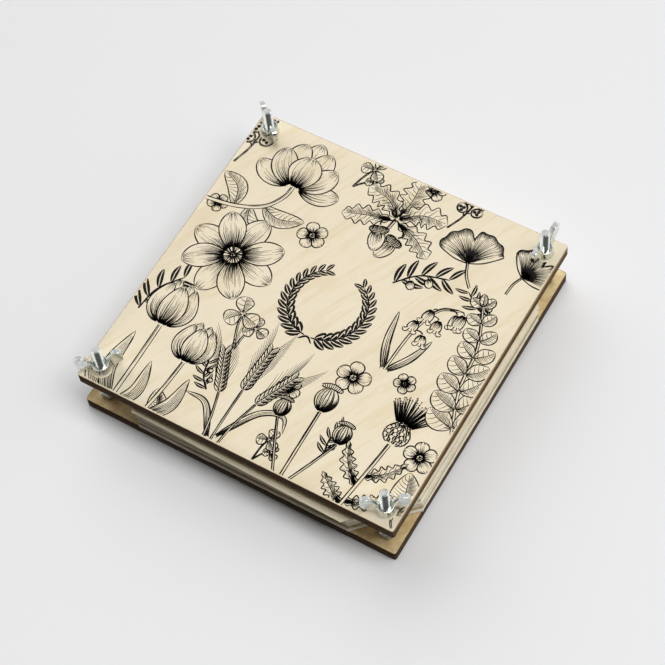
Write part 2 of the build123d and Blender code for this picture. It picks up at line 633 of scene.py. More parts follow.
def node_copy(node: str, weld: float = 0.002, flat: float = 0.5) -> bmesh.types.BMesh:
    """Copies a CAD node's mesh with its loose triangles merged.

    Args:
        node: The CAD node's name.
        weld: Millimetres within which points are one.
        flat: Degrees within which neighbouring triangles are one face.

    Returns:
        The merged copy, in metres.
    """
    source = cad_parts[node].data
    plain = bpy.data.meshes.new("copy")
    plain.from_pydata(
        [v.co[:] for v in source.vertices], [], [p.vertices[:] for p in source.polygons])
    work = bmesh.new()
    work.from_mesh(plain)
    bpy.data.meshes.remove(plain)
    bmesh.ops.remove_doubles(work, verts=work.verts, dist=weld * MM)
    bmesh.ops.dissolve_limit(
        work, angle_limit=math.radians(flat), verts=work.verts, edges=work.edges)
    return work


def new_tree(name: str, sizes: tuple, counts: tuple = ()) -> tuple[Tree, dict[str, Socket]]:
    """Starts a geometry node tree with its inputs.

    Args:
        name: The tree's name.
        sizes: Names of the inputs that are lengths or other plain numbers.
        counts: Names of the inputs that are whole numbers.

    Returns:
        The tree, and its inputs by name, with the geometry and the material among them.
    """
    tree = bpy.data.node_groups.new(name, "GeometryNodeTree")
    kinds = {
        "Geometry": "Geometry", **dict.fromkeys(sizes, "Float"), **dict.fromkeys(counts, "Int"),
        "Material": "Material"}
    for socket, kind in kinds.items():
        tree.interface.new_socket(socket, in_out="INPUT", socket_type=f"NodeSocket{kind}")
    tree.interface.new_socket("Geometry", in_out="OUTPUT", socket_type="NodeSocketGeometry")
    given = add_node(tree, "NodeGroupInput").outputs
    return tree, {socket: given[socket] for socket in kinds}


def end_tree(tree: Tree, geometry: Socket, material: Socket) -> None:
    """Ends a geometry node tree in one plain, dressed mesh.

    Args:
        tree: The tree.
        geometry: What it has made.
        material: The material that it dresses it in.
    """
    plain = add_node(tree, "GeometryNodeRealizeInstances", {"Geometry": geometry}).outputs[0]
    dressed = add_node(tree, "GeometryNodeSetMaterial", {
        "Geometry": plain, "Material": material}).outputs[0]
    add_node(tree, "NodeGroupOutput", {"Geometry": dressed})


def run_tree(tree: Tree, carrier: Object, values: dict, name: str) -> Mesh:
    """Runs a geometry node tree on its carrier, and removes the carrier.

    Args:
        tree: The tree.
        carrier: The object that it runs on.
        values: What each named input is set to.
        name: The new mesh's name.

    Returns:
        The result as a plain mesh.
    """
    runner = carrier.modifiers.new(tree.name, "NODES")
    runner.node_group = tree
    for item in tree.interface.items_tree:
        if item.name in values:
            runner[item.identifier] = values[item.name]
    return evaluated(carrier, name)


@dataclass
class PlywoodBoard:
    """One of the two boards: its CAD shape, softly edged, with a grained face and charred edges."""

    node: str
    body: str
    face: BirchFace
    edge: ScorchedEdge
    half_width: float = 90.0
    softening: float = 0.12
    rim_depth: float = 1.2  # how far in from the side an edge still belongs to the outline
    rim_angle: float = 60.0
    sharp_angle: float = 35.0
    face_slope: float = 0.9  # least upward share of a face's normal

    def build(self) -> Object:
        """Builds and dresses the board.

        Returns:
            The board.
        """
        work = node_copy(self.node)
        outline = (self.half_width - self.rim_depth) * MM
        rim = [
            e for e in work.edges
            if e.calc_face_angle(0) > math.radians(self.rim_angle)
            and all(max(abs(v.co.x), abs(v.co.y)) > outline for v in e.verts)
        ]
        for polygon in work.faces:
            polygon.material_index = 0 if abs(polygon.normal.z) > self.face_slope else 1
        bmesh.ops.bevel(
            work, geom=rim, offset=self.softening * MM, segments=2, profile=0.5, affect="EDGES",
            material=1)
        for polygon in work.faces:
            polygon.smooth = polygon.material_index == 1
        mesh = settled(work, self.node)
        for finish in (self.face, self.edge):
            mesh.materials.append(finish.material())
        mesh.set_sharp_from_angle(angle=math.radians(self.sharp_angle))
        return mount(mesh, f"{self.node}_dressed", self.body, self.face, self.node)


def turned(outline: list, segments: int, name: str, weld: float = 0.001) -> Mesh:
    """Turns a closed outline about the Z axis; points on the axis become poles.

    Args:
        outline: Pairs of radius and height in millimetres, anticlockwise.
        segments: Steps round the axis.
        name: The mesh's name.
        weld: Millimetres within which points are one.

    Returns:
        A closed mesh with outward faces.
    """
    points, faces = [], []
    count = len(outline)
    for step in range(segments):
        angle = 2 * math.pi * step / segments
        points += [(r * math.cos(angle), r * math.sin(angle), z) for r, z in outline]
        here, after = step * count, (step + 1) % segments * count
        for i in range(count):
            j = (i + 1) % count
            faces.append((here + i, after + i, after + j, here + j))
    rough = to_mesh(name, points, faces)
    work = bmesh.new()
    work.from_mesh(rough)
    bpy.data.meshes.remove(rough)
    bmesh.ops.remove_doubles(work, verts=work.verts, dist=weld * MM)
    bmesh.ops.dissolve_degenerate(work, edges=work.edges, dist=weld / 2 * MM)
    bmesh.ops.recalc_face_normals(work, faces=work.faces)
    return settled(work, name)


@dataclass
class ThreadedBolt:
    """A countersunk bolt: a head with a cross recess, a plain neck and a helical thread."""

    corner: Corner
    finish: ZincPlate
    offset: float = 81.0
    radius: float = 2.5
    depth: float = 0.45
    pitch: float = 0.8
    bottom: float = 0.2
    length: float = 50.0
    head_radius: float = 4.6
    head_rim: float = 0.3
    head_softening: float = 0.12
    head_segments: int = 48
    neck: float = 1.2
    tip_chamfer: float = 0.8
    cross_span: float = 5.0
    cross_width: float = 1.1
    cross_depth: float = 1.4
    cross_taper: float = 0.75  # size of the recess at its floor, as a share of that at its mouth
    cut_overrun: float = 0.5
    segments: int = 36
    rows_per_turn: int = 4
    weld: float = 0.004
    sharp_angle: float = 40.0
    # how a unit grid is wound into a thread: each step's name, its operation, and its terms, which
    # are numbers or names of inputs and earlier steps
    winding: ClassVar[tuple] = (
        ("whole", "DIVIDE", "Length", "Pitch"), ("turns", "ADD", "whole", 1.0),
        ("steps", "MULTIPLY", "turns", "Rows Per Turn"), ("rows", "ADD", "steps", 1.0),
        ("columns", "ADD", "Segments", 1.0), ("turn", "ADD", "across", 0.5),
        ("share", "ADD", "up", 0.5), ("wound", "MULTIPLY", "share", "turns"),
        ("ahead", "ADD", "wound", "turn"), ("behind", "SUBTRACT", "ahead", 1.0),
        ("lift", "MULTIPLY", "behind", "Pitch"), ("above", "MAXIMUM", "lift", 0.0),
        ("height", "MINIMUM", "above", "Length"), ("beat", "PINGPONG", "wound", 0.5),
        ("groove", "MULTIPLY_ADD", "beat", 2.5, -0.125), ("floor", "MINIMUM", "groove", 1.0),
        ("flank", "MAXIMUM", "floor", 0.0), ("cut", "MULTIPLY", "flank", "Depth"),
        ("wall", "SUBTRACT", "Radius", "cut"), ("tip", "SUBTRACT", "Radius", "Chamfer"),
        ("left", "SUBTRACT", "Length", "height"), ("slope", "ADD", "tip", "left"),
        ("reach", "MINIMUM", "wall", "slope"), ("angle", "MULTIPLY", "turn", 2 * math.pi),
        ("cosine", "COSINE", "angle"), ("sine", "SINE", "angle"),
        ("x", "MULTIPLY", "reach", "cosine"), ("y", "MULTIPLY", "reach", "sine"),
    )

    @property
    def shoulder(self) -> float:
        """Gives the height where the head's cone ends and the neck starts."""
        return self.bottom + self.head_rim + self.head_radius - self.radius

    def thread_tree(self) -> Tree:
        """Builds the node tree that winds a grid into a thread, on its first use.

        Returns:
            The tree, with the thread's sizes as its inputs.
        """
        made = bpy.data.node_groups.get("helical_thread")
        if made:
            return made
        tree, known = new_tree(
            "helical_thread", ("Radius", "Depth", "Pitch", "Length", "Chamfer", "Rows Per Turn"),
            ("Segments",))
        place = add_node(tree, "GeometryNodeInputPosition").outputs[0]
        spread = add_node(tree, "ShaderNodeSeparateXYZ", {0: place}).outputs
        known |= {"across": spread["X"], "up": spread["Y"]}
        for name, operation, *terms in self.winding:
            values = {i: known.get(term, term) for i, term in enumerate(terms)}
            known[name] = add_node(tree, "ShaderNodeMath", values, operation=operation).outputs[0]
        grid = add_node(tree, "GeometryNodeMeshGrid", {
            "Size X": 1.0, "Size Y": 1.0, "Vertices X": known["columns"],
            "Vertices Y": known["rows"]}).outputs["Mesh"]
        spot = add_node(tree, "ShaderNodeCombineXYZ", {
            "X": known["x"], "Y": known["y"], "Z": known["height"]}).outputs[0]
        wound_up = add_node(tree, "GeometryNodeSetPosition", {
            "Geometry": grid, "Position": spot}).outputs[0]
        cap = add_node(tree, "GeometryNodeMeshCircle", {
            "Vertices": known["Segments"], "Radius": known["tip"]}, fill_type="NGON").outputs[0]
        top = add_node(tree, "ShaderNodeCombineXYZ", {"Z": known["Length"]}).outputs[0]
        capped = add_node(tree, "GeometryNodeTransform", {
            "Geometry": cap, "Translation": top}).outputs[0]
        both = add_node(tree, "GeometryNodeJoinGeometry")
        for part in (wound_up, capped):
            tree.links.new(part, both.inputs[0])
        welded = add_node(tree, "GeometryNodeMergeByDistance", {
            "Geometry": both.outputs[0], "Distance": self.weld * MM}).outputs[0]
        end_tree(tree, welded, known["Material"])
        return tree

    def thread(self, length: float) -> Mesh:
        """Winds the thread on z = 0.

        Args:
            length: Its length in millimetres.

        Returns:
            The thread as a plain mesh, open only at its foot inside the neck.
        """
        carrier = piece(bpy.data.meshes.new("thread_carrier"), "thread_carrier")
        return run_tree(self.thread_tree(), carrier, {
            "Radius": self.radius * MM, "Depth": self.depth * MM, "Pitch": self.pitch * MM,
            "Length": length * MM, "Chamfer": self.tip_chamfer * MM,
            "Rows Per Turn": float(self.rows_per_turn), "Segments": self.segments,
            "Material": self.finish.material()}, "thread")

    def head(self) -> Mesh:
        """Turns the head and neck and sinks the cross recess.

        Returns:
            The head as a plain mesh.
        """
        neck_top = self.shoulder + self.neck
        outline = [
            (0, self.bottom), (self.head_radius - self.head_softening, self.bottom),
            (self.head_radius, self.bottom + self.head_softening),
            (self.head_radius, self.bottom + self.head_rim), (self.radius, self.shoulder),
            (self.radius, neck_top), (0, neck_top),
        ]
        blank = piece(turned(outline, self.head_segments, "head"), "head_blank")
        long, short = self.cross_span / 2, self.cross_width / 2
        ends = (
            (1.0, self.bottom - self.cut_overrun),
            (self.cross_taper, self.bottom + self.cross_depth))
        cutters = []
        for reach_x, reach_y in ((long, short), (short, long)):
            points = [
                (corner.value[0] * reach_x * share, corner.value[1] * reach_y * share, level)
                for share, level in ends for corner in Corner]
            cutters.append(piece(to_mesh("blade", points, tube(len(Corner), len(ends))), "blade"))
        for cutter in cutters:
            cut = blank.modifiers.new("recess", "BOOLEAN")
            cut.operation, cut.solver, cut.object = "DIFFERENCE", "EXACT", cutter
        mesh = evaluated(blank, "head")
        for cutter in cutters:
            bpy.data.objects.remove(cutter)
        return mesh

    def build(self) -> Object:
        """Builds and dresses the bolt.

        Returns:
            The bolt.
        """
        start = self.shoulder + self.neck
        thread = self.thread(self.bottom + self.length - start + self.pitch)
        thread.transform(Matrix.Translation((0, 0, (start - self.pitch) * MM)))
        work = bmesh.new()
        for part in (thread, self.head()):
            work.from_mesh(part)
        bmesh.ops.recalc_face_normals(work, faces=work.faces)
        bmesh.ops.translate(work, verts=work.verts, vec=self.corner.place(self.offset))
        mesh = settled(work, "bolt")
        smooth_over(mesh, self.sharp_angle)
        node = f"bolt_{self.corner.name}"
        return mount(mesh, f"{node}_threaded", "base", self.finish, node)


@dataclass
class HexNut:
    """A hex nut that locks a bolt to the bottom board: its CAD shape with softened edges."""

    corner: Corner
    finish: ZincPlate
    softening: float = 0.14
    edge_angle: float = 25.0
    sharp_angle: float = 35.0

    def build(self) -> Object:
        """Builds and dresses the nut.

        Returns:
            The nut.
        """
        node = f"hex_nut_{self.corner.name}"
        work = node_copy(node)
        edges = [e for e in work.edges if e.calc_face_angle(0) > math.radians(self.edge_angle)]
        bmesh.ops.bevel(
            work, geom=edges, offset=self.softening * MM, segments=2, profile=0.5, affect="EDGES",
            clamp_overlap=True)
        mesh = settled(work, node)
        smooth_over(mesh, self.sharp_angle)
        return mount(mesh, f"{node}_softened", "base", self.finish, node)


@dataclass
class WingNut:
    """A cast wing nut: a hub on a flared skirt and two wings, all run together by cast fillets."""

    corner: Corner
    yaw: float
    finish: ZincPlate
    offset: float = 81.0
    seat: float = 32.1
    bore_radius: float = 2.6
    mouth: float = 0.6
    dish: float = 1.2
    flange_radius: float = 4.9
    flange_edge: float = 0.8
    flare: float = 1.0
    flare_steps: int = 6
    flare_end: float = 0.01  # upright above the flare
    neck_radius: float = 4.6
    top_radius: float = 4.4
    hub_height: float = 4.8
    hub_segments: int = 72
    reach: float = 12.48  # short of the CAD's, so that the softened corners stay inside its box
    height: float = 13.0
    thickness: float = 2.4
    root_thickness: float = 3.2
    thinning: float = 0.6  # below one, a wing thins mostly near the hub
    tab_width: float = 5.4
    low_corner: float = 5.4
    lean: float = 0.8
    root_height: float = 0.8
    root_drop: float = 1.0
    root: float = 3.4
    corner_radius: float = 2.2
    corner_steps: int = 8
    voxel: float = 0.13
    fillet_pull: float = 0.5
    fillet_rounds: int = 9

    def hub(self) -> Mesh:
        """Turns the hub, with its bore, its dished top and its flared skirt.

        Returns:
            A closed ring.
        """
        skirt = []
        for i in range(self.flare_steps + 1):
            angle = math.pi / 2 * i / self.flare_steps
            skirt.append((
                self.neck_radius + (self.flange_radius - self.neck_radius) * (1 - math.sin(angle)),
                self.flange_edge + self.flare * (1 - math.cos(angle))))
        flare_top = self.flange_edge + self.flare
        outline = [
            (self.bore_radius + self.mouth, 0), (self.flange_radius, 0), *skirt,
            (self.neck_radius, flare_top + self.flare_end), (self.top_radius, self.hub_height),
            (self.bore_radius + self.dish, self.hub_height),
            (self.bore_radius, self.hub_height - self.dish), (self.bore_radius, self.mouth),
        ]
        return turned(outline, self.hub_segments, "hub")

    def wing_outline(self) -> list[tuple]:
        """Draws a wing's outline with its outer corners rounded.

        Returns:
            Pairs of reach and height in millimetres, anticlockwise.
        """
        corners = [
            (self.root, self.root_height, 0.0),
            (self.reach - self.lean, self.low_corner, self.corner_radius),
            (self.reach, self.height, self.corner_radius),
            (self.reach - self.tab_width, self.height, self.corner_radius),
            (self.root, self.hub_height - self.root_drop, 0.0),
        ]
        outline = []
        for i, (x, z, radius) in enumerate(corners):
            if radius == 0:
                outline.append((x, z))
                continue
            here = Vector((x, z))
            back = (Vector(corners[i - 1][:2]) - here).normalized()
            ahead = (Vector(corners[i + 1][:2]) - here).normalized()
            half_angle = back.angle(ahead) / 2
            start, end = (here + side * radius / math.tan(half_angle) for side in (back, ahead))
            centre = here + (back + ahead).normalized() * radius / math.sin(half_angle)
            for step in range(self.corner_steps + 1):
                spoke = start.lerp(end, step / self.corner_steps) - centre
                outline.append(tuple(centre + spoke.normalized() * radius))
        return outline

    def wing(self) -> Mesh:
        """Builds one wing along +X, thicker towards the hub.

        Returns:
            A closed plate.
        """
        outline = self.wing_outline()
        points = []
        for side in (1, -1):
            for x, z in outline:
                share = max(0.0, min(1.0, (x - self.root) / (self.reach - self.root)))
                thinner = (self.thickness - self.root_thickness) * share ** self.thinning
                points.append((x, side * (self.root_thickness + thinner) / 2, z))
        return to_mesh("wing", points, tube(len(outline), 2))

    def build(self) -> Object:
        """Joins the hub and the wings, runs them together, and dresses the nut.

        Returns:
            The wing nut.
        """
        work = bmesh.new()
        work.from_mesh(self.hub())
        for turn in (0, math.pi):
            wing = self.wing()
            wing.transform(Matrix.Rotation(turn, 4, "Z"))
            work.from_mesh(wing)
        bmesh.ops.recalc_face_normals(work, faces=work.faces)
        rough = settled(work, "wing_nut")
        rough.transform(Matrix.Rotation(math.radians(self.yaw), 4, "Z"))
        casting = piece(rough, "casting")
        fuse = casting.modifiers.new("fuse", "REMESH")
        fuse.mode, fuse.voxel_size, fuse.adaptivity = "VOXEL", self.voxel * MM, 0.0
        fillets = casting.modifiers.new("fillets", "SMOOTH")
        fillets.factor, fillets.iterations = self.fillet_pull, self.fillet_rounds
        mesh = evaluated(casting, "wing_nut")
        mesh.transform(Matrix.Translation(self.corner.place(self.offset, self.seat)))
        mesh.shade_smooth()
        node = f"wing_nut_{self.corner.name}"
        return mount(mesh, f"{node}_cast", node, self.finish, node)


@dataclass
class StackSheet:
    """One card or paper of the stack: its CAD outline with a wavering, softly worn edge."""

    node: str
    finish: PressedFibre
    seed: int
    air: float
    softening: float
    waver: float
    step: float = 1.6
    ripple_length: float = 5.0
    ripple_seed: float = 3.7
    swell_length: float = 16.0
    swell_seed: float = 1.9
    swell: float = 0.4  # share of the air that the faces rise and dip by
    wear: float = 0.8  # height of the worn edge, as a share of its depth
    sharp_angle: float = 50.0

    def corners(self) -> tuple[list[Vector], float, float]:
        """Reads the sheet's corners and heights from its CAD node.

        Returns:
            The corners in order round the sheet, its lowest and its highest level, in millimetres.
        """
        points = [v.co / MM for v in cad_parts[self.node].data.vertices]
        low, high = min(p.z for p in points), max(p.z for p in points)
        unique = {(round(p.x, 2), round(p.y, 2)) for p in points}
        centre = sum((Vector(p) for p in unique), Vector((0, 0))) / len(unique)
        ring = sorted(
            (Vector(p) for p in unique), key=lambda p: math.atan2(p.y - centre.y, p.x - centre.x))
        return ring, low, high

    def wave(self, spot: Vector, length: float, seed_step: float) -> float:
        """Gives the level of a wavy surface at a point of the sheet.

        Args:
            spot: The point in millimetres.
            length: Length of the waves.
            seed_step: How far apart the surfaces of two sheets are.

        Returns:
            A level between minus one and one.
        """
        return noise.noise(Vector((spot.x / length, spot.y / length, self.seed * seed_step)))

    def build(self) -> Object:
        """Builds and dresses the sheet.

        Returns:
            The sheet.
        """
        ring, low, high = self.corners()
        outline = []
        for i, start in enumerate(ring):
            end = ring[(i + 1) % len(ring)]
            inward = Vector((start.y - end.y, end.x - start.x)).normalized()
            count = max(2, round((end - start).length / self.step))
            for k in range(count):
                spot = start.lerp(end, k / count)
                ripple = self.wave(spot, self.ripple_length, self.ripple_seed)
                depth = self.waver * (0.5 + 0.5 * ripple) * (k > 0)
                outline.append((spot + inward * depth, inward))
        worn = self.softening * self.wear
        levels = (
            (low + self.air, self.softening), (low + self.air + worn, 0.0),
            (high - worn, 0.0), (high, self.softening))
        points = []
        for level, inset in levels:
            for spot, inward in outline:
                wave = self.wave(spot, self.swell_length, self.swell_seed)
                lift = abs(wave) * self.air * self.swell
                height = level - lift if level == high else level + lift
                points.append((*(spot + inward * inset), height))
        mesh = to_mesh(self.node, points, tube(len(outline), len(levels)))
        smooth_over(mesh, self.sharp_angle)
        return mount(mesh, f"{self.node}_cut", self.node, self.finish, self.node)


@dataclass
class PressingStack:
    """The cards and blotting papers between the boards."""

    cards: int = 5
    papers: int = 8
    paper_seed: int = 20

    def build(self) -> list[Object]:
        """Builds every sheet of the stack.

        Returns:
            The sheets, cards first.
        """
        sheets = []
        for i in range(1, self.cards + 1):
            finish = CARD_PALE if i % 2 else CARD_TAN
            sheets.append(StackSheet(
                f"pressing_card_{i}", finish, i, air=0.3, softening=0.35, waver=0.25))
        for i in range(1, self.papers + 1):
            finish = BLOTTER if (i - 1) // 2 % 2 else BLOTTER_BROWN
            sheets.append(StackSheet(
                f"blotting_paper_{i}", finish, self.paper_seed + i, air=0.2, softening=0.15,
                waver=0.35))
        return [sheet.build() for sheet in sheets]


Points = np.ndarray | list  # pairs of millimetres, one row each


def spline(points: Points, step: float = 0.4) -> np.ndarray:
    """Draws a smooth line through points.

    Args:
        points: Pairs of millimetres.
        step: Spacing of the samples.

    Returns:
        The samples, one row each.
    """
    given = np.asarray(points, float)
    padded = np.vstack([2 * given[0] - given[1], given, 2 * given[-1] - given[-2]])
    runs = []
    for a, b, c, d in zip(padded, padded[1:], padded[2:], padded[3:]):
        count = max(2, int(np.linalg.norm(c - b) / step) + 1)
        t = np.linspace(0, 1, count, endpoint=False)[:, None]
        runs.append(0.5 * (2 * b + (c - a) * t + (2 * a - 5 * b + 4 * c - d) * t ** 2
                           + (3 * b - a - 3 * c + d) * t ** 3))
    return np.vstack(runs + [padded[-2:-1]])


def way(angle: float) -> np.ndarray:
    """Gives the step of one at an angle in radians."""
    return np.array([math.cos(angle), math.sin(angle)])


def disc(radius: float) -> list:
    """Gives the outline of a round spot on the motif's origin."""
    return [way(angle) * radius for angle in np.linspace(0, 2 * math.pi, 20, endpoint=False)]


def inside(points: np.ndarray, polygon: np.ndarray) -> np.ndarray:
    """Tells which points lie inside a closed polygon.

    Args:
        points: One row each.
        polygon: Its corners in order.

    Returns:
        A true or false for each point.
    """
    x, y = points[:, :1], points[:, 1:2]
    ax, ay = polygon[:, 0], polygon[:, 1]
    bx, by = np.roll(ax, -1), np.roll(ay, -1)
    spans = (ay > y) != (by > y)
    rise = np.where(by == ay, 1e-9, by - ay)
    return (np.sum(spans & (x < ax + (y - ay) * (bx - ax) / rise), axis=1) % 2).astype(bool)


@dataclass
class Blade:
    """A petal, leaf, grain or pod: a curved axis and a half-width along it, in millimetres."""

    axis: Points
    width: float
    belly: float = 0.5
    fullness: float = 0.7  # lower is fuller, higher draws out the ends
    foot: float = 0.0  # share of the width left at the base
    lobes: int = 0
    lobe_depth: float = 0.4
    step: float = 0.4  # spacing of the points along its lines

    def __post_init__(self) -> None:
        """Samples the axis and its normals."""
        self.path = spline(self.axis, 0.5)
        along = np.gradient(self.path, axis=0)
        along /= np.maximum(np.linalg.norm(along, axis=1, keepdims=True), 1e-9)
        self.normals = np.stack([-along[:, 1], along[:, 0]], axis=1)
        self.shares = np.linspace(0, 1, len(self.path))
        self.length = float(np.sum(np.linalg.norm(np.diff(self.path, axis=0), axis=1)))

    def half(self, t: np.ndarray) -> np.ndarray:
        """Gives the half-width along the blade.

        Args:
            t: Shares of the length.

        Returns:
            Millimetres, one for each share.
        """
        t = np.clip(t, 0, 1)
        swell = np.sin(math.pi * t ** (math.log(0.5) / math.log(self.belly))) ** self.fullness
        wide = self.width * np.maximum(swell, self.foot * (1 - t / self.belly))
        if self.lobes:
            wide *= 1 - self.lobe_depth * np.cos(math.pi * self.lobes * t) ** 2
        return wide

    def spot(self, t: Points | float, s: Points | float = 0.0) -> np.ndarray:
        """Gives points of the blade.

        Args:
            t: Shares of the length.
            s: Shares of the half-width, to the left of the axis.

        Returns:
            The points, one row each.
        """
        pair = np.broadcast_arrays(np.asarray(t, float), np.asarray(s, float))
        t, s = (np.atleast_1d(a) for a in pair)
        base, out = (
            np.stack([np.interp(t, self.shares, rows[:, i]) for i in (0, 1)], axis=1)
            for rows in (self.path, self.normals))
        return base + out * (s * self.half(t))[:, None]

    def aim(self, t: float) -> tuple[np.ndarray, float]:
        """Finds a point of the axis and where the axis heads there.

        Args:
            t: Share of the length.

        Returns:
            The point, and the heading in radians.
        """
        near, here, far = self.spot([max(0, t - 0.02), t, min(1, t + 0.02)])
        return here, math.atan2(*(far - near)[::-1])

    def side(self, s: float, start: float = 0.0, end: float = 1.0) -> np.ndarray:
        """Gives a line along the blade.

        Args:
            s: Share of the half-width, to the left of the axis.
            start: Share of the length where it starts.
            end: Share where it ends.

        Returns:
            Points close together, one row each.
        """
        count = max(6, int(self.length * abs(end - start) / self.step))
        return self.spot(np.linspace(start, end, count), s)

    def across(self, t: float, reach: float = 0.95, climb: float = 0.0) -> np.ndarray:
        """Gives a line over the blade from side to side.

        Args:
            t: Share of the length.
            reach: Share of the half-width that it goes out to.
            climb: Share of the length that its ends climb.

        Returns:
            Points close together, one row each.
        """
        s = np.linspace(-reach, reach, 11)
        return self.spot(t + climb * np.abs(s / reach) ** 1.4, s)

    def rim(self) -> np.ndarray:
        """Gives the closed outline."""
        return np.vstack([self.side(1.0), self.side(-1.0)[::-1]])


@dataclass
class InkPen:
    """Draws strokes and dots in board millimetres; what is drawn first hides what comes later."""

    reach: float = 89.2
    bolt_offset: float = 81.0
    bolt_room: float = 5.7
    weight: float = 1.3  # scales the width of every line
    thin: float = 0.35  # share of a line's width that is left at its ends
    tremor: float = 0.14  # share of the width that it trembles by
    tremor_rate: float = 0.21
    keep: float = 0.035  # how far a line may stray when it is thinned out
    seed: int = 11
    strokes: list = field(default_factory=list)
    dots: list = field(default_factory=list)
    covers: list = field(default_factory=list)

    def __post_init__(self) -> None:
        """Starts the pen's own random draws."""
        self.draw = random.Random(self.seed)
        self.place(0, 0)

    def place(self, x: float, y: float, turn: float = 0.0, size: float = 1.0) -> None:
        """Moves the motif's own axes to a place on the board.

        Args:
            x: Millimetres to the right.
            y: Millimetres up the board.
            turn: Degrees anticlockwise.
            size: Scale of the motif.
        """
        c, s = way(math.radians(turn)) * size
        self.matrix, self.size = np.array([[c, -s], [s, c]]), size
        self.origin = np.array([x, y], float)

    def at(self, points: Points) -> np.ndarray:
        """Turns the motif's points to board points."""
        return np.asarray(points, float) @ self.matrix.T + self.origin

    def seen(self, points: np.ndarray) -> np.ndarray:
        """Tells which board points are free of covers, bolts and the board's edge.

        Args:
            points: One row each.

        Returns:
            A true or false for each point.
        """
        free = np.all(np.abs(points) < self.reach, axis=1)
        free &= np.hypot(*(np.abs(points) - self.bolt_offset).T) > self.bolt_room
        x0, y0, x1, y1 = *points.min(0).tolist(), *points.max(0).tolist()
        for polygon, left, low, right, high in self.covers:
            if x0 < right and x1 > left and y0 < high and y1 > low:
                free &= ~inside(points, polygon)
        return free

    def cover(self, polygon: Points) -> None:
        """Hides what is drawn later inside a closed outline of motif points."""
        outline = self.at(polygon)
        self.covers.append((outline, *outline.min(0).tolist(), *outline.max(0).tolist()))

    def trace(self, path: np.ndarray, halves: np.ndarray) -> None:
        """Keeps the seen runs of a sampled line.

        Args:
            path: Motif points close together.
            halves: Half of the stroke's width at each.
        """
        points = self.at(path)
        turns = np.flatnonzero(np.diff(np.concatenate([[0], self.seen(points), [0]])))
        for start, end in zip(turns[::2], turns[1::2]):
            if end - start > 1:
                self.strokes.append(self.thinned(np.column_stack([points, halves])[start:end]))

    def thinned(self, rows: np.ndarray) -> np.ndarray:
        """Drops the samples that a stroke doesn't need to keep its line and width.

        Args:
            rows: A point and half a width each.

        Returns:
            The rows that are kept.
        """
        kept, spans = [0, len(rows) - 1], [(0, len(rows) - 1)]
        while spans:
            a, b = spans.pop()
            if b - a < 2:
                continue
            t = np.linspace(0, 1, b - a + 1)[1:-1]
            (cx, cy), off = rows[b, :2] - rows[a, :2], rows[a + 1:b, :2] - rows[a, :2]
            length = math.hypot(cx, cy)
            if length > 1e-6:
                apart = np.abs(cx * off[:, 1] - cy * off[:, 0]) / length
            else:
                apart = np.hypot(*off.T)
            even = rows[a, 2] + (rows[b, 2] - rows[a, 2]) * t
            gap = np.maximum(apart, np.abs(rows[a + 1:b, 2] - even))
            worst = int(np.argmax(gap))
            if gap[worst] > self.keep:
                middle = a + 1 + worst
                kept.append(middle)
                spans += [(a, middle), (middle, b)]
        return rows[sorted(kept)]

    def line(self, path: np.ndarray, width: float, start: float = 0.1, end: float = 0.4) -> None:
        """Draws a pen line that swells from its start and thins to its end.

        Args:
            path: Motif points close together.
            width: Its greatest width in board millimetres, before the pen's weight.
            start: Share of its length over which it swells.
            end: Share over which it thins.
        """
        t = np.linspace(0, 1, len(path))
        ends = np.minimum(t / start, (1 - t) / end)
        swell = np.minimum(1, self.thin + (1 - self.thin) * ends)
        phase = self.draw.uniform(0, 6.28)
        beat = 1 + self.tremor * np.sin(t * len(path) * self.tremor_rate + phase)
        self.trace(path, width / 2 * self.weight * swell * beat)

    def dot(self, x: float, y: float, radius: float) -> None:
        """Draws a round dot where it is seen.

        Args:
            x: Its place in the motif.
            y: Its place in the motif.
            radius: Its radius in board millimetres.
        """
        spot = self.at([(x, y)])
        if self.seen(spot)[0]:
            self.dots.append((*spot[0], radius))

    def outline(self, blade: Blade, width: float = 0.5) -> None:
        """Draws both edges of a blade."""
        for side in (1.0, -1.0):
            self.line(blade.side(side), width, 0.1, 0.12)

    def fan(self, blade: Blade, count: int, width: float, short: float = 0.25, long: float = 0.55,
            spread: float = 0.88, from_tip: bool = False) -> None:
        """Hatches a blade with lines that run up from its base, or down from its tip.

        Args:
            blade: The blade.
            count: How many lines.
            width: Their width.
            short: Least share of the length that they take.
            long: Greatest share.
            spread: How far out to the edges they go.
            from_tip: Whether they start at the tip.
        """
        for i in range(count):
            s = spread * (2 * (i + self.draw.uniform(0.15, 0.85)) / count - 1)
            far = self.draw.uniform(short, long)
            ends = (0.97, 0.97 - far) if from_tip else (0.02, 0.02 + far)
            self.line(blade.side(s, *ends), width, 0.02, 0.7)

    def stem(self, points: Points, width: float, line: float = 0.36) -> None:
        """Draws a stem as two lines with a dark side.

        Args:
            points: Motif points that it runs through, from the top.
            width: Its width in millimetres.
            line: Width of its lines.
        """
        stalk = Blade(points, width / 2, 0.5, 0.02)
        for side, end, share in ((1.0, 1.0, 1.0), (-1.0, 1.0, 1.4), (-0.3, 0.5, 0.8)):
            self.line(stalk.side(side, 0.0, end), line * share, 0.02, 0.02 if end == 1.0 else 0.7)
        self.cover(stalk.rim())


class Motif(Enum):
    """The plants of the print, each drawn by the method of its name."""

    WREATH = "wreath"
    STAR_BLOOM = "star_bloom"
    MAGNOLIA = "magnolia"
    TULIP = "tulip"
    WHEAT = "wheat"
    OAK = "oak"
    GINKGO = "ginkgo"
    BLUEBELL = "bluebell"
    POPPY_POD = "poppy_pod"
    FLORET = "floret"
    CLOVER = "clover"
    EUCALYPTUS = "eucalyptus"
    OLIVE = "olive"
    BEECH = "beech"
    THISTLE = "thistle"
    HONESTY = "honesty"


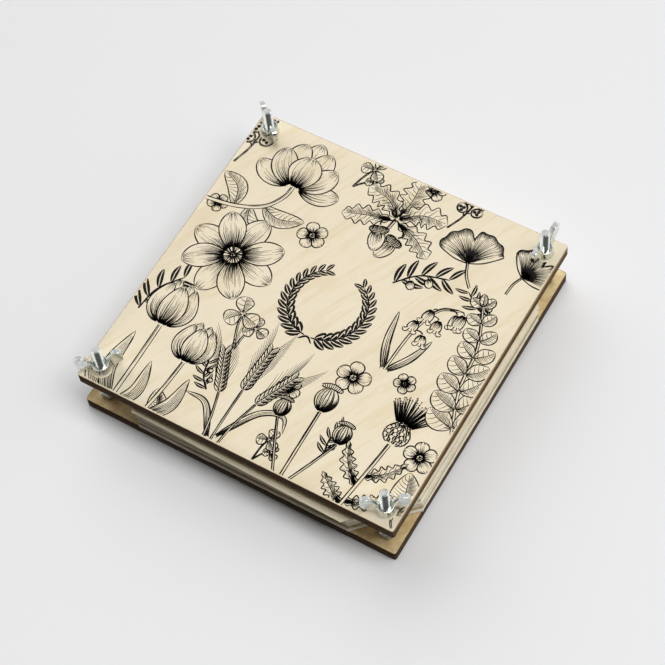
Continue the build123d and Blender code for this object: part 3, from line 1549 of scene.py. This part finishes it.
class Fill(Enum):
    """The ways to draw a blade, each by the method of its name."""

    PETAL = "petal"
    LEAF = "leaf"
    DARK = "dark"
    STRAP = "strap"
    GRAIN = "grain"
    SCALLOP = "scallop"


@dataclass
class BotanicalPrint:
    """The print on the top board: a plain wreath in the middle, and garden plants round it."""

    ink: PrintInk
    face: float = 32.1
    proud: float = 0.02
    soak: float = 0.05
    pen: InkPen = field(default_factory=InkPen)
    layout: tuple = (
        (Motif.WREATH, 0, 3, 0, 0.95),
        (Motif.STAR_BLOOM, -58, 6, 8, 1.06),
        (Motif.MAGNOLIA, -52, 56, 0, 1.08),
        (Motif.OAK, 5, 62, -4, 1.05),
        (Motif.GINKGO, 50, 57, 14, 1.0),
        (Motif.GINKGO, 78, 62, -30, 0.85),
        (Motif.EUCALYPTUS, 88, -26, 10, 1.0),
        (Motif.THISTLE, 60, -93, -5, 0.98),
        (Motif.POPPY_POD, 28, -93, 4, 1.05),
        (Motif.WHEAT, -12, -93, 2, 1.0),
        (Motif.TULIP, -68, -95, 3, 1.06),
        (Motif.CLOVER, -31, -34, 18, 0.95),
        (Motif.FLORET, 32, -27, 0, 0.95),
        (Motif.FLORET, -28, 35, 20, 0.85),
        (Motif.BLUEBELL, 43, 5, 0, 0.95),
        (Motif.OLIVE, 33, 38, 24, 0.85),
        (Motif.CLOVER, -23, 76, -20, 0.7),
        (Motif.OLIVE, -80, -30, 60, 0.85),
        (Motif.FLORET, 7, -47, 30, 0.7),
        (Motif.FLORET, 82, -50, 10, 0.9),
        (Motif.BEECH, 86, -82, 8, 0.75),
        (Motif.HONESTY, -88, 58, -6, 0.6),
        (Motif.HONESTY, 31, 73, -14, 0.5),
        (Motif.OLIVE, 68, 37, 150, 0.6),
        (Motif.BEECH, -44, -92, 20, 0.5),
        (Motif.FLORET, 14, 88, 0, 0.7),
        (Motif.FLORET, -82, 30, 50, 0.6),
        (Motif.CLOVER, 12, -84, -8, 0.6),
        (Motif.OLIVE, 40, -62, 80, 0.5),
        (Motif.OLIVE, -33, -60, 110, 0.5),
        (Motif.FLORET, 56, -18, 35, 0.6),
    )

    def sketch(self) -> InkPen:
        """Draws every motif of the layout.

        Returns:
            The pen with its strokes and dots.
        """
        for motif, *place in self.layout:
            self.pen.place(*place)
            getattr(self, motif.value)()
        return self.pen

    def line_tree(self) -> Tree:
        """Builds the node tree that gives pen lines their width and sinks them into the board.

        Returns:
            The tree, with the level of the face and the depths as its inputs.
        """
        tree, known = new_tree("ink_line", ("Face", "Proud", "Soak"))
        level = add_node(tree, "GeometryNodeSetCurveNormal", {
            "Curve": known["Geometry"]}, mode="Z_UP").outputs[0]
        triangle = add_node(tree, "GeometryNodeCurvePrimitiveCircle", {
            "Resolution": 3, "Radius": 1.0}).outputs[0]
        nib = add_node(tree, "GeometryNodeTransform", {
            "Geometry": triangle, "Rotation": (0, 0, math.radians(90)),
            "Scale": (1.0, 2 / math.sqrt(3), 1.0)}).outputs[0]
        width = add_node(tree, "GeometryNodeInputRadius").outputs[0]
        swept = add_node(tree, "GeometryNodeCurveToMesh", {
            "Curve": level, "Profile Curve": nib, "Scale": width, "Fill Caps": True}).outputs[0]
        place = add_node(tree, "GeometryNodeInputPosition").outputs[0]
        known |= add_node(tree, "ShaderNodeSeparateXYZ", {0: place}).outputs.items()
        for name, operation, *terms in (
                ("above", "GREATER_THAN", "Z", "Face"), ("step", "ADD", "Proud", "Soak"),
                ("rise", "MULTIPLY", "above", "step"), ("floor", "SUBTRACT", "Face", "Soak"),
                ("height", "ADD", "floor", "rise")):
            values = {i: known[term] for i, term in enumerate(terms)}
            known[name] = add_node(tree, "ShaderNodeMath", values, operation=operation).outputs[0]
        spot = add_node(tree, "ShaderNodeCombineXYZ", {
            "X": known["X"], "Y": known["Y"], "Z": known["height"]}).outputs[0]
        sunk = add_node(tree, "GeometryNodeSetPosition", {
            "Geometry": swept, "Position": spot}).outputs[0]
        end_tree(tree, sunk, known["Material"])
        return tree

    def dot_tree(self) -> Tree:
        """Builds the node tree that puts a low round dot on every point.

        Returns:
            The tree, with the dots' thickness as its input.
        """
        tree, known = new_tree("ink_dot", ("Thickness",))
        spot = add_node(tree, "GeometryNodeMeshCylinder", {
            "Vertices": 10, "Radius": 1.0, "Depth": known["Thickness"]}).outputs["Mesh"]
        radius = add_node(tree, "GeometryNodeInputNamedAttribute", {
            "Name": "dot_radius"}).outputs["Attribute"]
        scale = add_node(tree, "ShaderNodeCombineXYZ", {
            "X": radius, "Y": radius, "Z": 1.0}).outputs[0]
        dots = add_node(tree, "GeometryNodeInstanceOnPoints", {
            "Points": known["Geometry"], "Instance": spot, "Scale": scale}).outputs[0]
        end_tree(tree, dots, known["Material"])
        return tree

    def build(self) -> list[Object]:
        """Draws the print and lays it on the board.

        Returns:
            The lines and the dots.
        """
        pen = self.sketch()
        paths = bpy.data.curves.new("ink_paths", "CURVE")
        paths.dimensions = "3D"
        for rows in pen.strokes:
            run = paths.splines.new("POLY")
            run.points.add(len(rows) - 1)
            face = np.full(len(rows), self.face * MM)
            spots = np.column_stack([rows[:, :2] * MM, face, np.ones(len(rows))])
            run.points.foreach_set("co", spots.ravel())
            run.points.foreach_set("radius", rows[:, 2] * MM)
        points = to_mesh("ink_points", [(x, y, self.face) for x, y, _ in pen.dots], [])
        points.attributes.new("dot_radius", "FLOAT", "POINT").data.foreach_set(
            "value", [radius * MM for _, _, radius in pen.dots])
        depths = {"Face": self.face * MM, "Proud": self.proud * MM, "Soak": self.soak * MM}
        printed = []
        for name, tree, marks, sizes in (
                ("botanical_print_lines", self.line_tree(), paths, depths),
                ("botanical_print_dots", self.dot_tree(), points, {
                    "Thickness": 2 * self.proud * MM})):
            sizes["Material"] = self.ink.material()
            mesh = run_tree(tree, piece(marks, marks.name), sizes, name)
            printed.append(mount(mesh, name, "top_board", self.ink))
        return printed

    def fill(self, kind: Fill, *blades: Blade) -> None:
        """Draws blades in one way; each hides what is drawn later behind it.

        Args:
            kind: The way.
            blades: The blades, nearest first.
        """
        for blade in blades:
            getattr(self, kind.value)(blade)
            self.pen.cover(blade.rim())

    def petal(self, blade: Blade) -> None:
        """Draws a petal: its edge, hatching from a dark base and a few strokes from the tip.

        Args:
            blade: The petal.
        """
        lines = max(5, round(blade.width * 2.1))
        self.pen.outline(blade, 0.52)
        self.pen.fan(blade, lines, 0.4, 0.1, 0.26)
        self.pen.fan(blade, lines, 0.3, 0.25, 0.52)
        self.pen.fan(blade, lines, 0.26, 0.4, 0.78, 0.7)
        self.pen.fan(blade, max(3, lines // 2), 0.26, 0.08, 0.24, 0.75, from_tip=True)

    def leaf(self, blade: Blade) -> None:
        """Draws a leaf: its edge, its midrib, pairs of veins and hatching on its right half.

        Args:
            blade: The leaf.
        """
        pairs = max(3, round(blade.length / 3.2))
        self.pen.outline(blade, 0.48)
        self.pen.line(blade.side(0.0, 0.0, 0.96), 0.42, 0.02, 0.6)
        for k in range(pairs):
            t = 0.06 + 0.8 * (k + 0.35) / pairs
            vein = blade.across(t, 0.9, 0.14)
            self.pen.line(vein[5:], 0.28, 0.02, 0.7)
            self.pen.line(vein[5::-1], 0.32, 0.02, 0.7)
            for share in (0.33, 0.66):
                hatch = blade.across(t + share * 0.8 / pairs, 0.72, 0.1)
                self.pen.line(hatch[5::-1], 0.28, 0.02, 0.6)
        self.pen.fan(blade, max(4, round(blade.width)), 0.26, 0.12, 0.3, 0.7)

    def dark(self, blade: Blade) -> None:
        """Fills both halves of a blade with ink and leaves its midrib bare.

        Args:
            blade: The blade.
        """
        gap = 0.14
        for side in (-1, 1):
            path = blade.side(side * (1 + gap) / 2, 0.02, 0.985)
            halves = blade.half(np.linspace(0.02, 0.985, len(path))) * (1 - gap) / 2
            self.pen.trace(path, np.maximum(halves * self.pen.size, 0.08))

    def strap(self, blade: Blade) -> None:
        """Draws a strap leaf: its edge and long lines between.

        Args:
            blade: The leaf.
        """
        self.pen.outline(blade)
        count = max(2, round(blade.width * 1.7))
        for i in range(count):
            path = blade.side(-0.72 + 1.4 * i / count, 0.03, 0.92 - 0.1 * (i % 2))
            self.pen.line(path, 0.28, 0.1, 0.5)
        self.pen.fan(blade, count * 2, 0.28, 0.18, 0.4)

    def grain(self, blade: Blade) -> None:
        """Draws a grain with its awn.

        Args:
            blade: The grain.
        """
        self.pen.outline(blade, 0.44)
        for s, end in ((0.15, 0.85), (-0.4, 0.75), (-0.72, 0.6)):
            self.pen.line(blade.side(s, 0.05, end), 0.3, 0.1, 0.5)
        tip, angle = blade.aim(1.0)
        awn = [tip, tip + way(angle - 0.05) * 7, tip + way(angle) * 13]
        self.pen.line(spline(awn), 0.26, 0.02, 0.8)

    def scallop(self, blade: Blade) -> None:
        """Draws a lobed leaf: its edge, its veins and a hatched half.

        Args:
            blade: The leaf.
        """
        self.leaf(blade)
        self.pen.fan(blade, 7, 0.28, 0.3, 0.6, 0.5)

    def sprig(self, kind: Fill, spine: Blade, count: int, lean: float, long: float, wide: float,
              taper: float = 0.4, belly: float = 0.46, pairs: bool = True) -> None:
        """Sets leaves along a spine, from its tip down.

        Args:
            kind: How the leaves are drawn.
            spine: The spine.
            count: How many places have leaves.
            lean: Angle between a leaf and the spine, in radians.
            long: A leaf's length at the foot of the spine.
            wide: Its half-width there.
            taper: Share of the size lost on the way to the tip.
            belly: Where a leaf is widest.
            pairs: Whether leaves stand in pairs; otherwise they take turns.
        """
        for i in reversed(range(count)):
            t = 0.04 + 0.94 * i / (count - 1)
            spot, angle = spine.aim(t)
            k = 1 - taper * t
            for side in (-1, 1) if pairs else ((-1) ** i,):
                out = way(angle + side * lean) * k
                tip = spot + (out * 0.9 + way(angle) * 0.12 * k) * long
                axis = [spot + out * 0.4, spot + out * long * 0.55, tip]
                self.fill(kind, Blade(axis, wide * k, belly, 0.66))

    def rosette(self, kind: Fill, count: int, root: float, long: float, wide: float,
                belly: float = 0.56, start: float = 0.4, centre: Points = (0.0, 0.0)) -> None:
        """Sets petals round a centre, every other one in front.

        Args:
            kind: How they are drawn.
            count: How many petals.
            root: Where a petal starts, from the centre.
            long: Where it ends.
            wide: Its half-width.
            belly: Where it is widest.
            start: Angle of the first, in radians.
            centre: The centre.
        """
        for i in [*range(0, count, 2), *range(1, count, 2)]:
            angle = start + 2 * math.pi * i / count + self.pen.draw.uniform(-0.05, 0.05)
            bend = way(angle + math.pi / 2) * self.pen.draw.uniform(-0.05, 0.05) * long
            steps = way(angle) * root, way(angle) * long * 0.55 + bend, way(angle) * long
            axis = [np.add(centre, step) for step in steps]
            self.fill(kind, Blade(axis, wide, belly, 0.58, 0.3))

    def wreath(self) -> None:
        """A plain laurel wreath of dark leaves."""
        for flip in (-1, 1):
            angles = np.linspace(0.08, 2.62, 24)
            spine = Blade([(flip * 21.5 * math.sin(a), -21.5 * math.cos(a)) for a in angles], 1.0)
            self.sprig(Fill.DARK, spine, 13, 0.66, 9.0, 1.9, 0.35)
            self.pen.line(spine.side(0.0), 0.7, 0.02, 0.2)
        self.pen.line(spline([(-4, -24.6), (0, -21.6), (4, -24.6)]), 0.8, 0.1, 0.1)

    def star_bloom(self) -> None:
        """A star-shaped climber bloom, seen from the front."""
        for i in range(30):
            angle = 2 * math.pi * i / 30 + self.pen.draw.uniform(-0.08, 0.08)
            far = self.pen.draw.uniform(4.2, 7.0)
            bend = way(angle + math.pi / 2) * self.pen.draw.uniform(-0.5, 0.5)
            stamen = [way(angle), way(angle) * far * 0.6 + bend, way(angle) * far]
            self.pen.line(spline(stamen), 0.4, 0.05, 0.1)
            self.pen.dot(*stamen[-1], 0.55)
        for i in range(18):
            self.pen.dot(*(way(2.4 * i) * 0.5 * math.sqrt(i)), 0.5)
        self.pen.cover(disc(4.4))
        self.rosette(Fill.PETAL, 8, 2.5, 25.0, 6.7)

    def tulip(self) -> None:
        """Two tulips with their strap leaves."""
        cup = (
            ([(0, 0), (0.6, 11), (0, 23)], 6.6, 0.45),
            ([(-2, 0.8), (-7.6, 10), (-5.2, 24)], 4.6, 0.42),
            ([(2, 0.8), (8, 10), (6.4, 23.5)], 4.4, 0.42),
            ([(-1, 4), (-3, 15), (-2.4, 26)], 4.0, 0.5),
            ([(1, 4), (3.4, 15), (3.2, 25.5)], 4.0, 0.5))
        for x, tall, lean, k in ((0.0, 46.0, 2.0, 1.0), (17.0, 33.0, 5.0, 0.86)):
            for axis, wide, belly in cup:
                moved = np.array(axis) * k + (x + lean, tall)
                self.fill(Fill.PETAL, Blade(moved, wide * k, belly, 0.65, 0.25))
            self.pen.stem([(x + lean, tall + 0.5), (x + lean * 0.6, tall * 0.5), (x, 0)], 1.9 * k)
        for axis, wide in (
                ([(-1, 0), (-9, 16), (-7, 38)], 3.6), ([(2, 0), (9, 10), (8, 27)], 3.2),
                ([(18, 0), (27, 10), (29, 26)], 3.3), ([(-2, 0), (-14, 8), (-20, 22)], 2.8)):
            self.fill(Fill.STRAP, Blade(axis, wide, 0.4, 0.75, 0.5))

    def wheat(self) -> None:
        """Three ears of wheat with their leaves."""
        for x, tall, lean in ((0, 60, 3), (-9, 48, -8), (9, 51, 12)):
            stalk = Blade([(x * 0.4, 0), (x * 0.7 + lean * 0.2, tall * 0.5), (x + lean, tall)], 1.0)
            ear = Blade(stalk.side(0.0, 0.56, 1.0)[::6], 1.0)
            self.sprig(Fill.GRAIN, ear, 10, 0.42, 7.2, 1.45, 0.1, 0.42)
            self.pen.stem([stalk.spot(t)[0] for t in (0.58, 0.3, 0.0)], 0.9)
        for axis in ([(1, 6), (14, 26), (26, 30), (30, 22)], [(-2, 4), (-12, 20), (-24, 22)]):
            self.fill(Fill.STRAP, Blade(axis, 1.6, 0.4, 0.6, 0.6))

    def oak(self) -> None:
        """An oak sprig with two acorns."""
        for x, y, turn in ((-4.5, -6, 200), (6.5, -8, 165)):
            up = way(math.radians(turn + 90))
            foot = np.array([x, y], float)
            cap = Blade([foot - up * 0.5, foot + up * 4.6], 4.9, 0.45, 0.5, 0.2)
            self.pen.outline(cap)
            for i in range(5):
                self.pen.line(cap.across(0.18 + 0.17 * i), 0.36, 0.1, 0.1)
            self.pen.fan(cap, 13, 0.38, 0.7, 0.9, 0.95)
            self.pen.cover(cap.rim())
            self.fill(Fill.PETAL, Blade([foot + up * 2.4, foot + up * 14.5], 4.1, 0.42, 0.5, 0.5))
            stalk = [foot - up * 0.4, foot - up * 4 + (0.6, 0), (1, 1)]
            self.pen.line(spline(stalk), 0.75, 0.02, 0.02)
        for axis, wide in (
                ([(0, 2), (-9, 9), (-22, 11)], 7.0), ([(1, 2), (10, 10), (23, 12)], 7.2),
                ([(0, 3), (1, 14), (-1, 27)], 7.4), ([(-2, 0), (-14, -4), (-25, -9)], 6.0),
                ([(2, 0), (14, -3), (25, -10)], 6.0)):
            self.fill(Fill.SCALLOP, Blade(axis, wide, 0.58, 0.55, 0.12, 5, 0.42))
        self.pen.stem([(0, 2), (-1, -10), (-4, -18)], 1.4)

    def ginkgo(self) -> None:
        """A ginkgo leaf on its stalk."""
        spread = math.radians(66)
        angles = np.linspace(-spread, spread, 121)
        notch, droop = 5.2 * np.exp(-(angles / 0.09) ** 2), 2.2 * (angles / spread) ** 4
        reach = 20.5 - notch - droop + 0.45 * np.sin(angles * 17)
        arc = np.stack([reach * np.sin(angles), reach * np.cos(angles)], axis=1)
        left, right = (
            [(0, 0), (side * 7, 1.6), (side * 13, 4.8), arc[end]]
            for side, end in ((-1, 0), (1, -1)))
        for path in (spline(left), spline(right), arc):
            self.pen.line(path, 0.55, 0.02, 0.02)
        for i in range(2, 119, 3):
            far = arc[i] * self.pen.draw.uniform(0.75, 0.97)
            near = far * (0.03 if i % 2 else 0.16)
            self.pen.line(spline([near, far * (0.46, 0.54), far]), 0.3, 0.05, 0.5)
            for step in (0, 1, 2):
                rim = arc[i + step - 1]
                tick = [rim, rim * self.pen.draw.uniform(0.78, 0.92)]
                self.pen.line(spline(tick), 0.26, 0.02, 0.8)
        self.pen.cover([*left[:-1][::-1], *right[1:-1], *arc[::-1]])
        self.pen.stem([(0, 0.4), (1.2, -7), (4.5, -14)], 1.1)

    def bluebell(self) -> None:
        """A nodding stem of bells."""
        spine = Blade([(0, -22), (2, 4), (8, 22), (18, 27)], 1.0)
        for i, t in enumerate((1.0, 0.9, 0.8, 0.7, 0.6, 0.5)):
            side = 1 if i % 2 else -1
            root = spine.spot(t)[0]
            hang = root + ((side * 4.2 + 1.2, -1.0) if i else (3.4, -1.4))
            long = 10.5 - 0.7 * i
            axis = [hang, hang + (side * 0.4, -long * 0.5), hang + (side, -long)]
            bell = Blade(axis, 2.9, 0.55, 0.42, 0.4)
            mouth = bell.spot(0.93)[0]
            for k in (-1, 0, 1):
                curl = mouth + (k * 2.4, -0.4 + 0.3 * abs(k))
                edge = curl + (k * 1.6, 0.9 - 0.5 * (k == 0))
                lip = Blade([mouth + (k * 1.1, 1.8), curl, edge], 1.1, 0.5, 0.6, 0.5)
                self.pen.outline(lip, 0.42)
                self.pen.cover(lip.rim())
            self.fill(Fill.PETAL, bell)
            stalk = [root, root + (hang - root) * 0.6 + (0, 0.9), hang]
            self.pen.line(spline(stalk), 0.55, 0.02, 0.02)
        self.pen.stem([(18, 27), (8, 22), (2, 4), (0, -22)], 1.3)
        self.fill(Fill.STRAP, *(Blade(axis, 2.0, 0.35, 0.6, 0.7) for axis in (
            [(-1, -22), (-7, -6), (-10, 12)], [(1, -22), (9, -10), (14, 4)])))

    def poppy_pod(self) -> None:
        """Three seed pods of the poppy on bare stems."""
        for x, tall, lean, k in ((0, 40, 2, 1.0), (11, 28, 9, 0.8), (-10, 30, -8, 0.72)):
            top = np.array([x * 0.7 + lean, tall])
            brim = [top + np.array(step) * k for step in ((-5.6, 13.2), (0, 14.4), (5.6, 13.2))]
            crown = Blade(brim, 1.3 * k, 0.5, 0.3, 0.4)
            self.pen.outline(crown)
            for i in range(11):
                self.pen.line(crown.across(0.06 + 0.088 * i, 0.9), 0.36, 0.1, 0.1)
            self.pen.cover(crown.rim())
            pod = Blade([top, top + (0, 13.4 * k)], 5.6 * k, 0.52, 0.5, 0.25)
            for i in range(9):
                end = self.pen.draw.uniform(0.5, 0.9)
                self.pen.line(pod.side(-0.96 + 0.06 * i, 0.12, end), 0.32, 0.2, 0.4)
            for s in (-0.4, -0.1, 0.2, 0.5, 0.78):
                self.pen.line(pod.side(s, 0.04, 0.96), 0.38, 0.15, 0.15)
            self.fill(Fill.PETAL, pod)
            self.pen.stem([top, (x * 0.5 + lean * 0.5, tall * 0.5), (x * 0.25, 0)], 1.3 * k, 0.4)

    def floret(self) -> None:
        """A small bloom of five petals."""
        for i in range(9):
            self.pen.dot(*(way(2.4 * i) * 0.45 * math.sqrt(i)), 0.42)
        self.pen.cover(disc(1.5))
        self.rosette(Fill.PETAL, 5, 0.8, 9.8, 3.9, 0.62)

    def clover(self) -> None:
        """A clover leaf of three, with a smaller one behind."""
        for x, y, k in ((0, 14, 1.0), (9, 6, 0.7)):
            self.rosette(Fill.LEAF, 3, 0.4, 10.5 * k, 4.9 * k, 0.62, math.pi / 2, (x, y))
            self.pen.stem([(x, y), (x * 0.6 - 1, y * 0.4), (0, -8)], 0.9)

    def eucalyptus(self) -> None:
        """A branch of round paired leaves."""
        spine = Blade([(0, -6), (-4, 20), (-3, 44), (-8, 68)], 1.0)
        tip = [spine.spot(0.98)[0], spine.spot(1.0)[0] + (-1, 6)]
        self.fill(Fill.LEAF, Blade(tip, 2.0, 0.5, 0.6))
        self.sprig(Fill.LEAF, spine, 8, 1.0, 17.0, 6.2, 0.55, 0.5)
        self.pen.stem([spine.spot(t)[0] for t in (1.0, 0.66, 0.33, 0.0)], 1.3)

    def olive(self) -> None:
        """An olive twig with dark leaves and fruit."""
        spine = Blade([(-16, -4), (0, 2), (18, 0)], 1.0)
        for t in (0.3, 0.62):
            spot = spine.spot(t)[0]
            top = spot + (0.6, -2.0)
            self.fill(Fill.PETAL, Blade([top, spot + (1.6, -8.6)], 2.5, 0.5, 0.5))
            self.pen.line(spline([spot, top]), 0.5, 0.02, 0.02)
        self.sprig(Fill.DARK, spine, 9, 0.85, 15.0, 2.2, 0.15, 0.45, pairs=False)
        self.pen.line(spine.side(0.0), 0.75, 0.02, 0.1)

    def beech(self) -> None:
        """A single beech leaf."""
        self.fill(Fill.LEAF, Blade([(0, 0), (1.5, 14), (-1, 31)], 9.6, 0.46, 0.68))
        self.pen.stem([(0, 0.3), (-0.5, -4), (1.5, -9)], 1.0)

    def thistle(self) -> None:
        """A thistle head with spiny leaves."""
        foot = np.array([2.0, 44.0])
        bulb = Blade([foot, foot + (0, 13)], 6.8, 0.45, 0.45, 0.4)
        for row in range(6):
            for i in range(7 - row % 2):
                s = -0.86 + 1.72 * (i + 0.5 * (row % 2)) / 6
                root = bulb.spot(0.8 - 0.15 * row, s)[0]
                tip = bulb.spot(0.98 - 0.15 * row, s * 1.05)[0]
                scale = Blade([root, (root + tip) / 2, tip + (s * 1.2, 0.2)], 1.05, 0.42, 0.7)
                if (i + row) % 2:
                    self.fill(Fill.DARK, scale)
                else:
                    self.pen.outline(scale, 0.42)
        self.pen.outline(bulb)
        self.pen.cover(bulb.rim())
        for i in range(52):
            s = -1 + 2 * i / 51
            root = foot + (s * 4.6, 12.4 + 0.6 * (1 - s * s))
            lean = math.pi / 2 - s * 0.72 + self.pen.draw.uniform(-0.08, 0.08)
            tip = root + way(lean) * self.pen.draw.uniform(11, 16) * (1 - 0.18 * s * s)
            self.pen.line(spline([root, (root + tip) / 2 + (s * 0.5, 0.4), tip]), 0.42, 0.02, 0.3)
            self.pen.dot(*tip, 0.36)
        self.pen.stem([foot + (0, 0.5), (1.2, 22), (0, 0)], 1.7)
        for axis in (
                [(1.2, 22), (10, 30), (16, 40)], [(1, 16), (-9, 24), (-16, 35)],
                [(0.5, 6), (11, 12), (20, 22)], [(0, 4), (-8, 8), (-17, 14)]):
            self.fill(Fill.SCALLOP, Blade(axis, 4.3, 0.42, 0.85, 0.3, 6, 0.5))

    def honesty(self) -> None:
        """A stem of flat round seed pods."""
        spine = Blade([(0, -4), (3, 16), (2, 40)], 1.0)
        for t, side in ((1.0, 0), (0.86, 1), (0.78, -1), (0.6, 1), (0.5, -1)):
            spot, out = spine.spot(t)[0], way(math.pi / 2 - side * 0.85)
            pod, inner = (
                Blade([spot + out * near, spot + out * far], wide, 0.5, 0.45)
                for near, far, wide in ((4, 17, 5.6), (5.2, 15.8, 4.5)))
            self.pen.outline(pod)
            self.pen.outline(inner, 0.3)
            for k in range(3):
                seed = inner.spot(0.3 + 0.2 * k, 0.35 * (-1) ** k)[0]
                edge = inner.spot(0.35 + 0.2 * k, (-1) ** k * 0.95)[0]
                self.pen.dot(*seed, 1.0)
                self.pen.line(spline([seed, edge]), 0.28, 0.05, 0.2)
            self.pen.fan(pod, 10, 0.28, 0.08, 0.2)
            self.pen.cover(pod.rim())
            self.pen.line(spline([spot, spot + out * 4]), 0.6, 0.02, 0.02)
        self.pen.stem([(2, 40), (3, 16), (0, -4)], 1.2)

    def magnolia(self) -> None:
        """A magnolia bloom on its twig, with leaves."""
        for axis, wide in (
                ([(0, 0), (0.5, 9), (0, 19)], 8.2), ([(-2, 0.5), (-10, 9), (-14, 19)], 6.6),
                ([(2, 0.5), (10, 8), (15, 17)], 6.4), ([(-1, 3), (-6, 15), (-6, 25)], 6.2),
                ([(1, 3), (6, 15), (7.5, 24.5)], 6.2), ([(0, 5), (0.5, 17), (0.5, 28)], 6.0),
                ([(-3, 0), (-13, 2), (-23, 7)], 5.6), ([(3, 0), (13, 1), (23, 4)], 5.4)):
            self.fill(Fill.PETAL, Blade(axis, wide, 0.55, 0.54, 0.2))
        self.pen.stem([(0, 0.8), (-1, -7), (-7, -16), (-20, -22), (-40, -25)], 1.9)
        self.fill(Fill.LEAF, *(Blade(axis, 4.8, 0.48, 0.7) for axis in (
            [(-7, -16), (3, -19), (15, -15)], [(-20, -22), (-24, -12), (-34, -7)],
            [(-13, -19), (-8, -28), (4, -31)])))


@dataclass
class Studio:
    """The pale table, the soft light and the camera of the photograph."""

    right: tuple = (0.86099925, 0.50382526, -0.06957295)
    down: tuple = (0.40577828, -0.76293894, -0.50325755)
    ahead: tuple = (-0.30663378, 0.40507318, -0.86133121)
    eye: tuple = (0.31883481, -0.41749322, 0.89938262)
    focal_pixels: float = 2030.0
    image_pixels: float = 665.0
    sensor: float = 36.0
    table_half: float = 4.0
    key_place: tuple = (0.9, 0.2, 2.8)
    key_aim: tuple = (0.0, 0.0, 0.02)
    key_size: tuple = (2.34, 1.35)
    key_watts: float = 55.5
    right_way: tuple = (0.84, 0.4, 0.37)
    right_glow: float = 0.75
    left_way: tuple = (-0.72, 0.46, 0.52)
    left_glow: float = 2.2
    glow_edge: tuple = (0.66, 1.0)  # cosines where a glow starts and where it is full
    room_dark: float = 0.0
    front_way: tuple = (0.42, -0.55, 0.72)
    front_dark: float = 0.09
    zenith_way: tuple = (0.0, 0.0, 1.0)
    zenith: float = 0.68
    shade_edge: tuple = (0.55, 0.85)
    backdrop: float = 0.95

    def camera(self) -> None:
        """Sets the camera where the photograph was taken from."""
        lens = bpy.data.cameras.new("camera")
        lens.sensor_width = self.sensor
        lens.lens = self.focal_pixels / self.image_pixels * self.sensor
        made = piece(lens, "camera")
        columns = (Vector(self.right), -Vector(self.down), -Vector(self.ahead))
        made.matrix_world = Matrix.Translation(self.eye) @ Matrix(columns).transposed().to_4x4()
        bpy.context.scene.camera = made

    def table(self) -> None:
        """Lays the paper that the press stands on."""
        half = self.table_half / MM
        corners = [(x * half, y * half, 0) for x, y in (corner.value for corner in Corner)]
        mesh = to_mesh("table", corners, [(0, 1, 2, 3)])
        mesh.materials.append(PAPER.material())
        piece(mesh, "table_paper")

    def key(self) -> None:
        """Hangs the softbox overhead."""
        lamp = bpy.data.lights.new("key", "AREA")
        lamp.shape, lamp.energy = "RECTANGLE", self.key_watts
        lamp.size, lamp.size_y = self.key_size
        made = piece(lamp, "key")
        made.location = self.key_place
        away = (Vector(self.key_place) - Vector(self.key_aim)).normalized()
        long_way = (Vector((1, 0, 0)) - away * away.x).normalized()
        turn = Matrix((long_way, away.cross(long_way), away)).transposed()
        made.rotation_euler = turn.to_euler()

    def room(self) -> None:
        """Sets the room: two glowing sides light the press, and it mirrors a dark camera side."""
        world = bpy.data.worlds.new("room")
        world.use_nodes = True
        bpy.context.scene.world = world
        tree = world.node_tree
        gaze = add_node(tree, "ShaderNodeTexCoord").outputs["Generated"]
        levels = []
        for side, edge, low, high in (
                (self.right_way, self.glow_edge, self.room_dark, self.right_glow),
                (self.left_way, self.glow_edge, self.room_dark, self.left_glow),
                (self.front_way, self.shade_edge, self.backdrop, self.front_dark),
                (self.zenith_way, self.shade_edge, self.backdrop, self.zenith)):
            facing = add_node(
                tree, "ShaderNodeVectorMath", {0: gaze, 1: side}, operation="DOT_PRODUCT")
            levels.append(add_node(tree, "ShaderNodeMapRange", {
                "Value": facing.outputs["Value"], "From Min": edge[0], "From Max": edge[1],
                "To Min": low, "To Max": high}, interpolation_type="SMOOTHSTEP").outputs[0])
        lit, shown = (
            add_node(tree, "ShaderNodeMath", {0: first, 1: second}, operation=operation).outputs[0]
            for first, second, operation in ((*levels[:2], "ADD"), (*levels[2:], "MINIMUM")))
        strength = add_node(tree, "ShaderNodeMix", {
            0: looked_at(tree), 2: lit, 3: shown}).outputs[0]
        connect(tree, tree.nodes["Background"], {
            "Color": (1.0, 1.0, 1.0, 1.0), "Strength": strength})
        bpy.context.scene.view_settings.view_transform = "Standard"

    def build(self) -> None:
        """Builds the studio."""
        for part in (self.camera, self.table, self.key, self.room):
            part()


WING_YAWS = {
    Corner.front_left: 40.0, Corner.front_right: 33.0, Corner.back_right: 86.0,
    Corner.back_left: 139.0}


def main() -> None:
    """Builds the press and its studio."""
    logging.basicConfig(level=logging.INFO, format="%(name)s: %(message)s")
    Studio().build()
    PlywoodBoard("bottom_board", "base", BIRCH_BARE, BOTTOM_EDGE).build()
    PlywoodBoard("top_board", "top_board", BIRCH_PRINTED, TOP_EDGE).build()
    BotanicalPrint(INK).build()
    PressingStack().build()
    for corner in Corner:
        ThreadedBolt(corner, ZINC_ROLLED).build()
        HexNut(corner, ZINC_DULL_SHADED).build()
        WingNut(corner, WING_YAWS[corner], ZINC_CAST).build()


if __name__ == "__main__":
    main()
